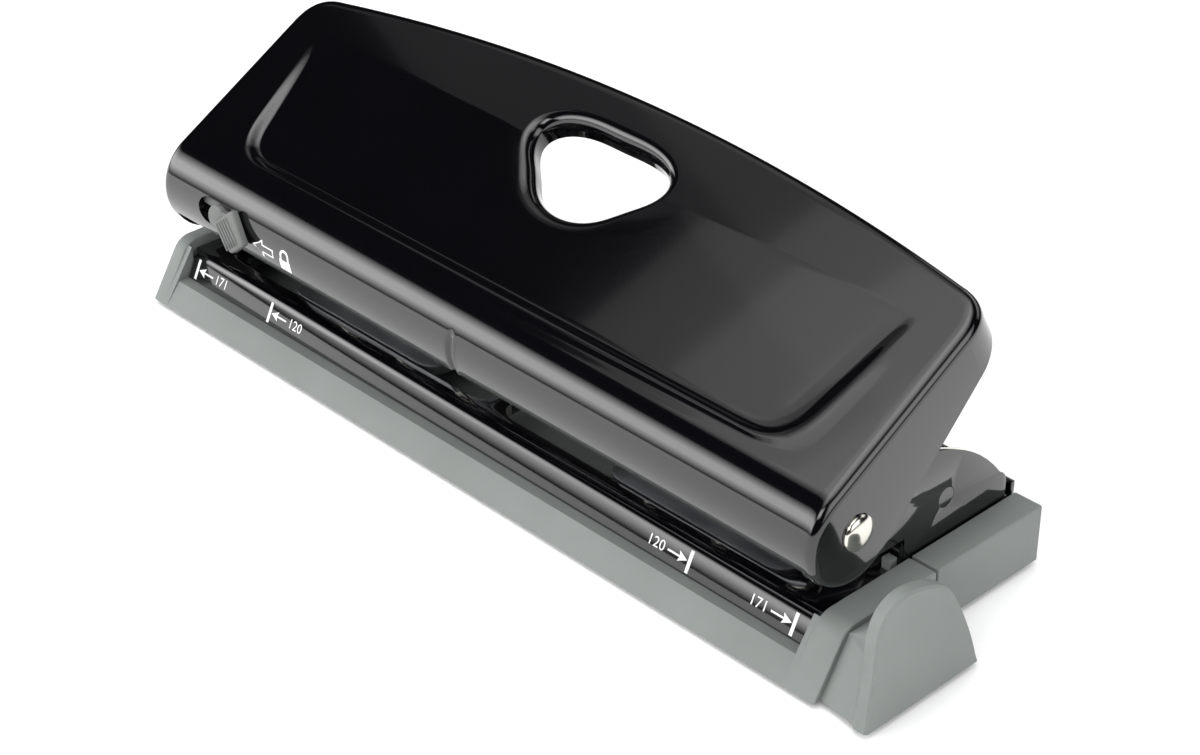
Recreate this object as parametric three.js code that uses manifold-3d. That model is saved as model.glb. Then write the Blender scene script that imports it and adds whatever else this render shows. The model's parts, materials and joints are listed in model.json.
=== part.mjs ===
// Six-hole organiser punch: a pressed steel handle on two rivets presses six spring-loaded punches,
// carried three by three on units that slide along a rod inside a steel frame. The frame stands on
// a plastic base, whose front half is a chip tray that swings down to be emptied.
// Millimetres. X runs along the length, Y to the rear and Z up.
import * as THREE from "three";
import { mergeVertices } from "three/addons/utils/BufferGeometryUtils.js";
import Module from "manifold-3d";

const wasm = await Module();
wasm.setup();

// Clearances
const runningGap = 0.08;
const seatGap = 0.3;
const restGap = 0.12;
const overrun = 5;

// Steel frame: half its length, from which every reach along X follows
const sheet = 1;
const frameHalf = 89.5;

// Base: depth, height and the reach of its two ends from the frame's middle
const footHeight = 1;
const baseDepth = 60.2;
const baseHeight = 12.2;
const seamSetback = 31.05;
const ledgeHeight = 4.7;
const ledgeSetback = 3.6;
const blockFrontSetback = 7.6;
const leftWallWidth = 3.8;
const rightBlockWidth = 6.5;
const leftWallReach = frameHalf + leftWallWidth;
const rightBlockReach = frameHalf + rightBlockWidth;
const plasticWall = 1.5;
const plasticEdge = 0.9;
const finSpan = 11.5;
const finSeamGap = 1.65;
const finReach = rightBlockReach + finSpan;
const finDepth = seamSetback - finSeamGap;
const finHeight = 24.8;
const finRim = 2.6;

// Bends and slots of the frame
const rampEndGap = 1.2;
const rampHalf = frameHalf - rampEndGap;
const rampFoot = 5.95;
const rampTop = 8.6;
const floorHeight = 10.2;
const bendRadius = 1.6;
const rearLipSetback = 59;
const rearLipHeight = 14.3;
const paperStop = 29.4;
const armHeight = 16.35;
const earRear = 57.3;
const earPeakSetback = 30;
const earPeakHeight = 32.6;
const slotFront = 12.4;
const slotRear = 36.4;
const slotEndGap = 11.5;
const slotOuter = frameHalf - slotEndGap;
const slotInner = 1.85;
const bridgeOffset = 0.9;
const slotRound = 5;
const slotLipDepth = 1.6;

// Handle: its nose turns about the pivot, and its top plate leans back at the rest angle
const pivotSetback = 14.4;
const pivotHeight = 26;
const restAngle = THREE.MathUtils.degToRad(30);
const noseRadius = 11;
const handleSheet = 1.2;
const earGap = 0.5;
const handleHalf = frameHalf + earGap + handleSheet;
const foldRadius = 2;
const handleLength = 52;
const archRise = 8.5;
const rearCorner = 8;
const rearRimDepth = 8;
const lipLevel = 0.6;
const flangeTail = 39.3;
const flangeNeck = 13.5;
const flangeRise = 9.8;
const discRadius = 6.4;
const recessDepth = 1.6;
const recessFront = 3.8;
const recessRear = 33;
const recessInsetFront = 16.2;
const recessInsetRear = 10.7;
const recessHalfFront = handleHalf - recessInsetFront;
const recessHalfRear = handleHalf - recessInsetRear;
const recessRound = 9;
const holeOffset = 1.4;
const holeMiddle = 33.7;
const holeHalfWidth = 16.2;
const holeHalfDepth = 9.35;
const holeLobeShare = 0.12;
const holeRoll = 2.8;
const holeCollar = 2.4;
const dartWidth = 1.6;
const rivetShank = 2.5;
const rivetHead = 3.5;
const rivetDome = 1.6;

// Punch units
const holePitch = 19;
const punchSetback = 24.4;
const punchRadius = 2.5;
const punchTip = 13.3;
const capRadius = 3.6;
const unitMargin = 4;
const leftUnitInner = 20.75;
const rightUnitInner = slotOuter - sheet - unitMargin - 2 * holePitch;
const unitSheet = 1.2;
const paperGap = 2.8;
const unitFront = 18.6;
const unitRear = 34.6;
const unitTop = 22.4;
const dieThickness = 2.1;
const postRadius = 1.5;
const barThickness = 1.5;
const barInset = 7.2;
const barHalf = handleHalf - barInset;
const barFront = 5.5;
const barRear = 17.5;
const wire = 0.6;
const springCurls = 6;
const rodRadius = 2;
const rodSetback = 40.2;
const rodHeight = 20;
const blockLength = 22;
const tabHeight = 9;

// Lock slide in the nose
const lockTravel = 4.2;
const lockSlotInset = 12.65;
const lockSlotEnd = handleHalf - lockSlotInset;
const lockNeck = 12.2;
const lockSlotHeight = 3.1;
const lockRise = THREE.MathUtils.degToRad(11.5);
const lockInset = 5.6;
const lockReach = handleHalf - lockInset;
const lockPadThickness = 2;
const lockPadHeight = 9.6;

// Hinge of the chip tray, and feet
const hingeHeight = 2.4;
const knuckleRadius = 2.1;
const hingePin = 0.8;
const hingeLug = 5.4;
const hingeReach = 60;
const footRadius = 4.5;
const footRecess = 0.6;
const footEndInset = 9.5;
const footReach = frameHalf - footEndInset;
const footInset = 6.4;

// Hooks of the rear base: each passes up through a notch in the frame's floor
const hook = {
  width: 1.9,
  depth: 1.8,
  front: 27.2,
  bottom: 5.1,
};

const steelBlack = { color: 0x0b0b0e, roughness: 0.12, metalness: 0.2 };
const greyPlastic = { color: 0x8c928f, roughness: 0.55, metalness: 0 };
const nickel = { color: 0xd9d8d0, roughness: 0.2, metalness: 1 };
const zincSteel = { color: 0x9a9c9e, roughness: 0.35, metalness: 1 };
const springSteel = { color: 0x8a8c90, roughness: 0.3, metalness: 1 };
const darkPlastic = { color: 0x1c1d1f, roughness: 0.5, metalness: 0 };
const rubber = { color: 0x161616, roughness: 0.9, metalness: 0 };

// Solids: a closed geometry becomes a manifold, and goes back when it is finished
function solid(geometry) {
  geometry.deleteAttribute("normal");
  geometry.deleteAttribute("uv");
  const merged = mergeVertices(geometry, 1e-4);
  return new wasm.Manifold(
    new wasm.Mesh({
      numProp: 3,
      vertProperties: merged.attributes.position.array,
      triVerts: new Uint32Array(merged.index.array),
    }),
  );
}

function geometryOf(body) {
  const mesh = body.getMesh();
  const geometry = new THREE.BufferGeometry();
  geometry.setAttribute("position", new THREE.BufferAttribute(mesh.vertProperties, 3));
  geometry.setIndex(new THREE.BufferAttribute(mesh.triVerts, 1));
  geometry.computeVertexNormals();
  return geometry;
}

const join = (first, ...rest) => rest.reduce((a, b) => a.add(b), first);
const cut = (first, ...rest) => rest.reduce((a, b) => a.subtract(b), first);
const common = (a, b) => a.intersect(b);

// Outlines
const point = (u, v) => new THREE.Vector2(u, v);

// A closed outline whose corners are rounded off over the given setbacks.
function rounded(points, setbacks) {
  const shape = new THREE.Shape();
  points.forEach((corner, i) => {
    const before = points[(i + points.length - 1) % points.length];
    const after = points[(i + 1) % points.length];
    const setback = Array.isArray(setbacks) ? setbacks[i] : setbacks;
    const start = corner.clone().lerp(before, setback / corner.distanceTo(before));
    const end = corner.clone().lerp(after, setback / corner.distanceTo(after));
    if (i === 0) shape.moveTo(start.x, start.y);
    else shape.lineTo(start.x, start.y);
    if (setback > 0) shape.quadraticCurveTo(corner.x, corner.y, end.x, end.y);
  });
  shape.closePath();
  return shape;
}

const rectangle = (u0, v0, u1, v1, setback = 0) =>
  rounded([point(u0, v0), point(u1, v0), point(u1, v1), point(u0, v1)], setback);

function circle(u, v, radius) {
  const shape = new THREE.Shape();
  shape.absarc(u, v, radius, 0, 2 * Math.PI);
  return shape;
}

// The section of a bent strip: a line of points with its bends rounded, thickened to its right.
function strip(points, thickness, radius) {
  const path = new THREE.CurvePath();
  let from = points[0];
  points.slice(1, -1).forEach((corner, i) => {
    const start = corner.clone().lerp(points[i], radius / corner.distanceTo(points[i]));
    const end = corner.clone().lerp(points[i + 2], radius / corner.distanceTo(points[i + 2]));
    path.add(new THREE.LineCurve(from, start));
    path.add(new THREE.QuadraticBezierCurve(start, corner, end));
    from = end;
  });
  path.add(new THREE.LineCurve(from, points[points.length - 1]));
  const near = path.curves.flatMap((curve, i) => {
    const steps = curve.isLineCurve ? 1 : 5;
    return curve.getPoints(steps).slice(i === 0 ? 0 : 1);
  });
  const far = near.map((spot, i) => {
    const ahead = near[Math.min(i + 1, near.length - 1)];
    const behind = near[Math.max(i - 1, 0)];
    const inward = ahead.clone().sub(spot).normalize();
    const outward = spot.clone().sub(behind).normalize();
    const along = inward.clone().add(outward).normalize();
    const stretch = Math.max(along.dot(inward), along.dot(outward), 1 / 2);
    return spot.clone().add(point(along.y, -along.x).multiplyScalar(thickness / stretch));
  });
  return new THREE.Shape([...near, ...far.reverse()]);
}

// Extrusions: along X of an outline in Y and Z, and along Z of an outline in X and Y
const acrossX = new THREE.Matrix4().makeBasis(
  new THREE.Vector3(0, 1, 0),
  new THREE.Vector3(0, 0, 1),
  new THREE.Vector3(1, 0, 0),
);

function extruded(shape, depth, edge, steps) {
  return new THREE.ExtrudeGeometry(shape, {
    depth: depth - 2 * edge,
    curveSegments: steps,
    bevelEnabled: edge > 0,
    bevelThickness: edge,
    bevelSize: edge,
    bevelOffset: -edge,
    bevelSegments: 3,
  }).translate(0, 0, edge);
}

const alongX = (shape, x0, x1, edge = 0, steps = 8) =>
  solid(extruded(shape, x1 - x0, edge, steps).applyMatrix4(acrossX).translate(x0, 0, 0));

const alongZ = (shape, z0, z1, edge = 0, steps = 8) =>
  solid(extruded(shape, z1 - z0, edge, steps).translate(0, 0, z0));

const block = (x0, x1, y0, y1, z0, z1) => alongZ(rectangle(x0, y0, x1, y1), z0, z1);

// A block between two distances from the middle, to the left for side -1 and to the right for side 1.
const blockOn = (side, near, far, ...range) =>
  block(...[side * near, side * far].sort((a, b) => a - b), ...range);

const rodAlongX = (radius, x0, x1, y, z, steps = 8) => alongX(circle(y, z, radius), x0, x1, 0, steps);

// A closed body through rings of equally many points, each ring a list of Vector3.
function loft(rings) {
  const count = rings[0].length;
  const vertices = rings.flat();
  const last = (rings.length - 1) * count;
  const middle = (ring) =>
    ring.reduce((sum, p) => sum.add(p), new THREE.Vector3()).divideScalar(count);
  vertices.push(middle(rings[0]), middle(rings[rings.length - 1]));
  const faces = [];
  for (let j = 0; j < count; j++) {
    const next = (j + 1) % count;
    for (let i = 0; i < last; i += count) {
      faces.push(i + j, i + next, i + count + next, i + j, i + count + next, i + count + j);
    }
    faces.push(vertices.length - 2, next, j, vertices.length - 1, last + j, last + next);
  }
  const geometry = new THREE.BufferGeometry().setFromPoints(vertices);
  geometry.setIndex(faces);
  return solid(geometry);
}

function turned(profile, steps = 16) {
  return solid(new THREE.LatheGeometry(profile, steps).rotateX(Math.PI / 2));
}

const moved = (body, x, y, z) => body.translate([x, y, z]);
const mirroredX = (body) => body.mirror([1, 0, 0]);

// The finished scene
const scene = new THREE.Group();
const assembly = new THREE.Group();
const handleGroup = new THREE.Group();
scene.add(assembly);
assembly.add(handleGroup);
assembly.position.set((leftWallReach - finReach) / 2, -baseDepth / 2, footHeight);
handleGroup.position.set(0, pivotSetback, pivotHeight);
handleGroup.rotation.x = restAngle;

function add(group, name, body, look) {
  const mesh = new THREE.Mesh(geometryOf(body), new THREE.MeshStandardMaterial(look));
  mesh.name = name;
  group.add(mesh);
}

// Base
const tray = {
  inner: frameHalf + seatGap,
  rear: seamSetback - seatGap / 2,
};

const sideOutline = (rear) =>
  rounded(
    [
      point(0, 0),
      point(rear, 0),
      point(rear, baseHeight),
      point(blockFrontSetback, baseHeight),
    ],
    [0, 0, plasticEdge, 3 * plasticEdge],
  );

// The fin is the end stop for the longest paper: its rim stands up, and sweeps down into the block.
const finOutlineShares = [
  [0, 0],
  [0.015, 0.16],
  [0.035, 0.35],
  [0.05, 0.54],
  [0.05, 0.74],
  [0.085, 0.87],
  [0.16, 0.963],
  [0.265, 1],
  [0.37, 0.988],
  [0.475, 0.953],
  [0.585, 0.896],
  [0.675, 0.81],
  [0.75, 0.68],
  [0.835, 0.49],
  [0.925, 0.25],
  [1, 0],
];

function finRing(x, spread, inset = 0) {
  const slope = blockFrontSetback / baseHeight;
  const top = baseHeight - plasticWall;
  const bottom = plasticEdge / 3;
  const ring = finOutlineShares.map(([yShare, zShare]) => {
    const y = inset + yShare * (finDepth - 2 * inset);
    const z = Math.max(zShare * (finHeight - inset), bottom);
    const low = Math.min(z, top);
    const blockY = Math.max(y, low * slope + plasticWall);
    return new THREE.Vector3(
      x,
      THREE.MathUtils.lerp(blockY, y, spread),
      THREE.MathUtils.lerp(low, z, spread),
    );
  });
  return ring.reverse();
}

function fin() {
  const rimInner = finReach - finRim;
  const foot = rightBlockReach - plasticEdge / 2;
  const steps = 7;
  const rings = [];
  for (let i = 0; i <= steps; i++) {
    const angle = (i / steps) * (Math.PI / 2);
    const x = rimInner - (rimInner - foot) * Math.cos(angle);
    rings.push(finRing(x, 1 - Math.cos(Math.asin(i / steps))));
  }
  rings.push(finRing(finReach - plasticEdge / 2, 1));
  rings.push(finRing(finReach, 1, plasticEdge / 2));
  return loft(rings);
}

const footPocket = (x, y) => alongZ(circle(x, y, footRadius + seatGap), -overrun, footRecess, 0, 10);

function chipTray() {
  const front = new THREE.Shape([
    point(0, 0),
    point(tray.rear, 0),
    point(tray.rear, plasticWall),
    point(rampTop, plasticWall),
    point(rampTop, ledgeHeight),
    point(ledgeSetback, ledgeHeight),
  ]);
  const across = alongX(front, -tray.inner - plasticWall / 2, tray.inner + plasticWall / 2);
  const leftWall = alongX(sideOutline(tray.rear), -leftWallReach, -tray.inner, plasticEdge / 2);
  const rightWall = alongX(sideOutline(tray.rear), tray.inner, rightBlockReach, plasticEdge / 2);
  const cheekOutline = new THREE.Shape([
    point(0, 0),
    point(rampTop - plasticEdge, 0),
    point(rampTop - plasticEdge, baseHeight - plasticEdge),
    point(blockFrontSetback, baseHeight - plasticEdge),
  ]);
  const cheek = alongX(cheekOutline, rampHalf + seatGap, tray.inner + plasticWall);
  const knuckle = rodAlongX(knuckleRadius, -tray.inner, tray.inner, seamSetback, hingeHeight);
  const padFront = tray.rear - plasticWall;
  const floorPad = block(-tray.inner, tray.inner, padFront, seamSetback, seatGap, hingeHeight);
  let body = join(across, leftWall, rightWall, cheek, mirroredX(cheek), knuckle, floorPad, fin());
  for (const side of [-1, 1]) {
    const x = side * hingeReach;
    const half = hingeLug / 2 + seatGap;
    const gapRadius = knuckleRadius + 2 * seatGap;
    const reach = 2 * hingeLug;
    const gap = rodAlongX(gapRadius, x - half, x + half, seamSetback, hingeHeight);
    const bore = rodAlongX(hingePin + runningGap, x - reach, x + reach, seamSetback, hingeHeight);
    body = cut(body, gap, bore, footPocket(side * footReach, footInset));
  }
  return body;
}

function rearBase() {
  const start = seamSetback + seatGap / 2;
  const outline = rounded(
    [point(start, 0), point(baseDepth, 0), point(baseDepth, baseHeight), point(start, baseHeight)],
    [0, 0, plasticEdge, 0],
  );
  const under = floorHeight - sheet - restGap;
  const wallOutline = rectangle(start, 0, baseDepth, under);
  const hollow = block(
    -tray.inner + plasticWall,
    tray.inner - plasticWall,
    start + plasticWall,
    baseDepth - plasticWall,
    plasticWall,
    baseHeight + overrun,
  );
  let body = join(
    cut(alongX(wallOutline, -tray.inner - plasticWall, tray.inner + plasticWall), hollow),
    alongX(outline, -leftWallReach, -tray.inner, plasticEdge / 2),
    alongX(outline, tray.inner, rightBlockReach, plasticEdge / 2),
  );
  const ribs = 5;
  for (let i = 0; i < ribs; i++) {
    const x = ((i + 1) / (ribs + 1) - 1 / 2) * 2 * tray.inner;
    const thick = plasticWall / 2;
    body = join(body, block(x - thick, x + thick, start + thick, baseDepth - thick, thick, under));
  }
  const lipFoot = floorHeight - sheet - slotLipDepth;
  const slotHalf = slotOuter + sheet + seatGap;
  const slotBack = slotRear + sheet + seatGap;
  body = cut(body, block(-slotHalf, slotHalf, 0, slotBack, lipFoot - seatGap, floorHeight));
  const grooveRadius = knuckleRadius + seatGap;
  const grooveRear = seamSetback + hingeHeight + seatGap;
  const ends = rightBlockReach;
  const groove = rodAlongX(grooveRadius, -ends, ends, seamSetback, hingeHeight);
  body = cut(body, groove, block(-ends, ends, seamSetback, grooveRear, -overrun, hingeHeight));
  for (const side of [-1, 1]) {
    const x = side * hingeReach;
    const half = hingeLug / 2;
    const rear = start + 2 * plasticWall + hingeHeight;
    const lug = join(
      rodAlongX(knuckleRadius, x - half, x + half, seamSetback, hingeHeight),
      block(x - half, x + half, seamSetback, rear, seatGap, hingeHeight + knuckleRadius),
    );
    const bore = rodAlongX(hingePin + runningGap, x - 2 * half, x + 2 * half, seamSetback, hingeHeight);
    const near = frameHalf - sheet - hook.width;
    const far = frameHalf - sheet;
    const hookTop = hook.bottom + hook.width;
    const hookRear = hook.front + hook.depth;
    const hookBase = blockOn(side, near, far, hook.front, start + plasticWall, hook.bottom, hookTop);
    const hookStem = blockOn(side, near, far, hook.front, hookRear, hook.bottom, baseHeight);
    const pocket = footPocket(side * footReach, baseDepth - footInset);
    body = cut(join(body, lug, hookBase, hookStem), bore, pocket);
  }
  return body;
}

// Steel frame: one bent sheet with two lipped slots, and two upright ears
const slots = [
  { name: "left", from: -slotOuter, to: bridgeOffset - slotInner },
  { name: "right", from: bridgeOffset + slotInner, to: slotOuter },
];

function earOutline() {
  const shape = new THREE.Shape();
  shape.moveTo(paperStop, floorHeight - sheet);
  shape.lineTo(earRear, floorHeight - sheet);
  shape.lineTo(earRear, armHeight - sheet);
  shape.quadraticCurveTo(earRear, armHeight + sheet, earRear - 2 * sheet, armHeight + 2 * sheet);
  shape.quadraticCurveTo(
    (earRear + earPeakSetback) / 2 + 2 * sheet,
    earPeakHeight - 2 * sheet,
    earPeakSetback,
    earPeakHeight,
  );
  shape.lineTo(pivotSetback, pivotHeight + discRadius);
  shape.absarc(pivotSetback, pivotHeight, discRadius, Math.PI / 2, (3 / 2) * Math.PI);
  shape.lineTo(pivotSetback + discRadius, armHeight);
  shape.lineTo(paperStop, armHeight);
  shape.closePath();
  return shape;
}

function lockHorn() {
  const turn = new THREE.Matrix4().makeRotationX(-lockRise - restAngle * (3 / 4) + restAngle / 4);
  const horn = new THREE.BoxGeometry(sheet, noseRadius - handleSheet - seatGap, sheet * (4 / 3));
  horn.translate(0, -(noseRadius - handleSheet - seatGap) / 2, 0).applyMatrix4(turn);
  return moved(solid(horn), -frameHalf + sheet / 2, pivotSetback, pivotHeight);
}

function chassis() {
  const section = strip(
    [
      point(rampFoot, ledgeHeight + restGap),
      point(rampTop, floorHeight),
      point(rearLipSetback, floorHeight),
      point(rearLipSetback, rearLipHeight),
    ],
    sheet,
    bendRadius,
  );
  const underFoot = block(-frameHalf, frameHalf, 0, rampTop, 0, ledgeHeight + restGap);
  let body = cut(alongX(section, -frameHalf, frameHalf), underFoot);
  for (const side of [-1, 1]) {
    const trimRear = rampTop + plasticEdge;
    const trimTop = floorHeight + overrun;
    body = cut(body, blockOn(side, rampHalf, rampHalf + overrun, 0, trimRear, 0, trimTop));
  }
  for (const slot of slots) {
    const lip = rectangle(slot.from - sheet, slotFront - sheet, slot.to + sheet, slotRear + sheet, slotRound);
    const opening = rectangle(slot.from, slotFront, slot.to, slotRear, slotRound);
    body = join(body, alongZ(lip, floorHeight - sheet - slotLipDepth, floorHeight - sheet / 2));
    body = cut(body, alongZ(opening, -overrun, floorHeight + overrun));
  }
  const ear = alongX(earOutline(), frameHalf - sheet, frameHalf, 0, 10);
  body = join(body, ear, mirroredX(ear), lockHorn());
  for (const side of [-1, 1]) {
    const near = frameHalf - sheet - hook.width - seatGap;
    const far = frameHalf - sheet + seatGap;
    const notchFront = hook.front - seatGap;
    const notchRear = hook.front + hook.depth + seatGap;
    body = cut(body, blockOn(side, near, far, notchFront, notchRear, 0, baseHeight));
  }
  const wide = frameHalf + overrun;
  const pivotBore = rodAlongX(rivetShank + runningGap, -wide, wide, pivotSetback, pivotHeight);
  const rodBore = rodAlongX(rodRadius + runningGap, -wide, wide, rodSetback, rodHeight);
  return cut(body, pivotBore, rodBore);
}

add(assembly, "chip_tray", chipTray(), greyPlastic);
add(assembly, "rear_base", rearBase(), greyPlastic);
add(assembly, "chassis", chassis(), steelBlack);

const ends = [
  { name: "left", side: -1 },
  { name: "right", side: 1 },
];

for (const end of ends) {
  const foot = turned([
    point(0, -footHeight),
    point(footRadius - plasticEdge / 2, -footHeight),
    point(footRadius, -footHeight + plasticEdge / 2),
    point(footRadius, footRecess - restGap),
    point(0, footRecess - restGap),
  ]);
  add(assembly, "foot_front_" + end.name, moved(foot, end.side * footReach, footInset, 0), rubber);
  add(assembly, "foot_rear_" + end.name, moved(foot, end.side * footReach, baseDepth - footInset, 0), rubber);
  const middle = end.side * hingeReach;
  const reach = hingeLug * (3 / 2);
  const pin = rodAlongX(hingePin, middle - reach, middle + reach, seamSetback, hingeHeight);
  add(assembly, "tray_hinge_pin_" + end.name, pin, zincSteel);
}

add(
  assembly,
  "guide_rod",
  rodAlongX(rodRadius, -frameHalf, frameHalf, rodSetback, rodHeight),
  zincSteel,
);

// Pivot rivets: a domed head outside the handle, a shank through handle and ear, and a flat inner head
function pivotRivet() {
  const outer = handleHalf + restGap;
  const inner = frameHalf - sheet - restGap;
  const profile = [
    point(0, inner - sheet),
    point(rivetHead, inner - sheet),
    point(rivetHead, inner),
    point(rivetShank, inner),
    point(rivetShank, outer),
    point(rivetHead, outer),
  ];
  const steps = 5;
  for (let i = 1; i <= steps; i++) {
    const angle = (i / steps) * (Math.PI / 2);
    const radius = i === steps ? 0 : rivetHead * Math.cos(angle);
    profile.push(point(radius, outer + rivetDome * Math.sin(angle)));
  }
  const geometry = new THREE.LatheGeometry(profile, 20).rotateZ(-Math.PI / 2);
  return moved(solid(geometry), 0, pivotSetback, pivotHeight);
}

add(assembly, "pivot_rivet_right", pivotRivet(), nickel);
add(assembly, "pivot_rivet_left", mirroredX(pivotRivet()), nickel);

// Handle, in its own frame: Y runs up the slope from the pivot, and Z is square to the top plate
function handleSide(inset) {
  const radius = noseRadius - inset;
  const shape = new THREE.Shape();
  shape.moveTo(handleLength + overrun, radius);
  shape.lineTo(0, radius);
  shape.absarc(0, 0, radius, Math.PI / 2, (3 / 2) * Math.PI);
  shape.lineTo(handleLength + overrun, -radius);
  shape.closePath();
  return shape;
}

function handlePlan(inset) {
  const half = handleHalf + runningGap - inset;
  const rear = handleLength - inset;
  const shoulder = rear - archRise;
  const shape = new THREE.Shape();
  shape.moveTo(-half, -noseRadius - overrun);
  shape.lineTo(half, -noseRadius - overrun);
  shape.lineTo(half, shoulder - rearCorner);
  shape.quadraticCurveTo(half, shoulder, half - rearCorner, shoulder + archRise / 9);
  shape.quadraticCurveTo(half / 2 - rearCorner / 2, rear, 0, rear);
  shape.quadraticCurveTo(-half / 2 + rearCorner / 2, rear, -half + rearCorner, shoulder + archRise / 9);
  shape.quadraticCurveTo(-half, shoulder, -half, shoulder - rearCorner);
  shape.closePath();
  return shape;
}

function handleBody(inset) {
  const side = alongX(handleSide(inset), -handleHalf + inset, handleHalf - inset, foldRadius - inset, 9);
  const plan = alongZ(handlePlan(inset), -2 * noseRadius, noseRadius - inset, foldRadius - inset, 9);
  return common(side, plan);
}

function recess(grow) {
  const front = recessFront - grow;
  const rear = recessRear + overrun;
  const slope = (recessHalfRear - recessHalfFront) / (recessRear - recessFront);
  const frontHalf = recessHalfFront + grow;
  const rearHalf = frontHalf + slope * (rear - front);
  const outline = rounded(
    [point(-frontHalf, front), point(frontHalf, front), point(rearHalf, rear), point(-rearHalf, rear)],
    [recessRound, recessRound, 0, 0],
  );
  const tilt = Math.atan(recessDepth / (recessRear - recessFront));
  const geometry = extruded(outline, 2 * overrun, recessDepth / 2, 6);
  geometry.translate(0, -recessRear, -grow).rotateX(tilt).translate(0, recessRear, noseRadius);
  return solid(geometry);
}

// Rings of the finger hole: a triangle with bowed sides and round corners, its broad side to the rear.
function holeRing(level, grow) {
  const count = 36;
  const ring = [];
  for (let i = 0; i < count; i++) {
    const angle = (i / count) * 2 * Math.PI;
    const lobe = 1 + holeLobeShare * Math.sin(3 * angle);
    const width = holeHalfWidth * lobe + grow;
    const depth = holeHalfDepth * lobe + grow;
    const x = holeOffset + width * Math.cos(angle);
    ring.push(new THREE.Vector3(x, holeMiddle + depth * Math.sin(angle), level));
  }
  return ring;
}

function rolledRings(inset) {
  const steps = 5;
  const rings = [];
  const centre = noseRadius - holeRoll;
  const radius = holeRoll - inset;
  for (let i = 0; i <= steps; i++) {
    const angle = (i / steps) * (Math.PI / 2);
    rings.push(holeRing(centre + radius * Math.sin(angle), holeRoll - radius * Math.cos(angle)));
  }
  return rings;
}

function handleShell() {
  const wide = handleHalf + overrun;
  const throatHalf = handleHalf - handleSheet - foldRadius;
  const below = new THREE.Shape([
    point(discRadius / 2, -noseRadius - runningGap),
    point(flangeNeck, -noseRadius + flangeRise / 2),
    point(flangeTail, -noseRadius + flangeRise + foldRadius),
    point(handleLength - archRise, noseRadius - rearRimDepth),
    point(handleLength + 2 * overrun, noseRadius - rearRimDepth),
    point(handleLength + 2 * overrun, -noseRadius - overrun),
    point(discRadius / 2, -noseRadius - overrun),
  ]);
  const throat = rectangle(-noseRadius - overrun, -noseRadius - overrun, handleLength + overrun, lipLevel);
  const armWay = rectangle(-noseRadius / 3, -noseRadius - overrun, handleLength, lipLevel);
  const inner = cut(handleBody(handleSheet), recess(handleSheet));
  let shell = cut(
    handleBody(0),
    recess(0),
    inner,
    alongX(below, -wide, wide),
    alongX(throat, -throatHalf, throatHalf),
    alongX(armWay, -frameHalf - seatGap, frameHalf + seatGap),
  );
  const collarFoot = noseRadius - holeRoll - holeCollar;
  const collar = loft([
    holeRing(collarFoot, handleSheet),
    ...rolledRings(handleSheet),
    holeRing(noseRadius - handleSheet * (3 / 4), holeRoll),
  ]);
  const hole = loft([
    holeRing(collarFoot - overrun, 0),
    ...rolledRings(0),
    holeRing(noseRadius + overrun, holeRoll + overrun / 2),
  ]);
  shell = cut(join(shell, collar), hole);
  const bore = rodAlongX(rivetShank + runningGap, -wide, wide, 0, 0);
  return cut(shell, bore, lockSlot(), dart());
}

// The lock's slot runs along the nose, with round ends.
const lockAngle = restAngle + lockRise;

function onNose(geometry) {
  return solid(geometry.rotateX(-lockAngle));
}

function lockSlot() {
  const right = -lockSlotEnd + lockNeck + lockTravel + seatGap;
  const half = lockSlotHeight / 2;
  const shape = rectangle(-lockSlotEnd, -half, right, half, half * (9 / 10));
  const geometry = extruded(shape, noseRadius, 0, 6);
  return onNose(geometry.rotateX(Math.PI / 2).translate(0, -noseRadius / 2, 0));
}

function dart() {
  const reach = noseRadius - handleSheet / 2;
  const geometry = new THREE.ConeGeometry(dartWidth, noseRadius, 4);
  geometry.rotateX(Math.PI).translate(0, -reach - dartWidth * (3 / 5), -noseRadius / 5);
  return solid(geometry);
}

add(handleGroup, "handle_shell", handleShell(), steelBlack);

const barTop = noseRadius - handleSheet - recessDepth - seatGap;
const barLevel = barTop - barThickness;
const barSection = rectangle(barFront, barLevel, barRear, barTop, barThickness / 3);
add(handleGroup, "press_bar", alongX(barSection, -barHalf, barHalf), zincSteel);

// The lock slides to the left, so that its tongue passes over the horn of the left ear.
function lockSlide() {
  const left = -lockSlotEnd + lockTravel;
  const right = left + lockNeck;
  const inside = noseRadius - handleSheet - seatGap;
  const carriageHalf = lockSlotHeight / 2 - seatGap;
  const carriage = new THREE.BoxGeometry(right + lockReach, 2 * carriageHalf, 2 * carriageHalf);
  carriage.translate((right - lockReach) / 2, -inside + carriageHalf, 0);
  const neckHalf = lockSlotHeight / 2 - seatGap / 2;
  const neckShape = rectangle(left, -neckHalf, right, neckHalf, neckHalf * (9 / 10));
  const neck = extruded(neckShape, handleSheet + lockPadThickness + carriageHalf, 0, 6);
  neck.rotateX(Math.PI / 2).translate(0, -inside + carriageHalf, 0);
  const padShape = rounded(
    [
      point(left, -lockPadHeight / 2),
      point(right, -lockPadHeight / 2),
      point(right, lockPadHeight / 2),
      point(left, lockPadHeight / 2),
    ],
    lockPadThickness / 2,
  );
  const pad = extruded(padShape, lockPadThickness, lockPadThickness / 4, 3);
  pad.rotateX(Math.PI / 2).translate(0, -noseRadius - seatGap, 0);
  let body = join(onNose(carriage), onNose(neck), onNose(pad));
  const ribs = 5;
  const pitch = lockNeck / 2 / ribs;
  for (let i = 0; i < ribs; i++) {
    const rib = new THREE.CylinderGeometry(pitch / 3, pitch / 3, lockPadHeight * (4 / 5), 8);
    const ribDepth = noseRadius + seatGap + lockPadThickness;
    rib.rotateX(Math.PI / 2).translate(left + pitch * (i + 1), -ribDepth, 0);
    body = join(body, onNose(rib));
  }
  return body;
}

add(handleGroup, "lock_slider", lockSlide(), greyPlastic);

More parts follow.
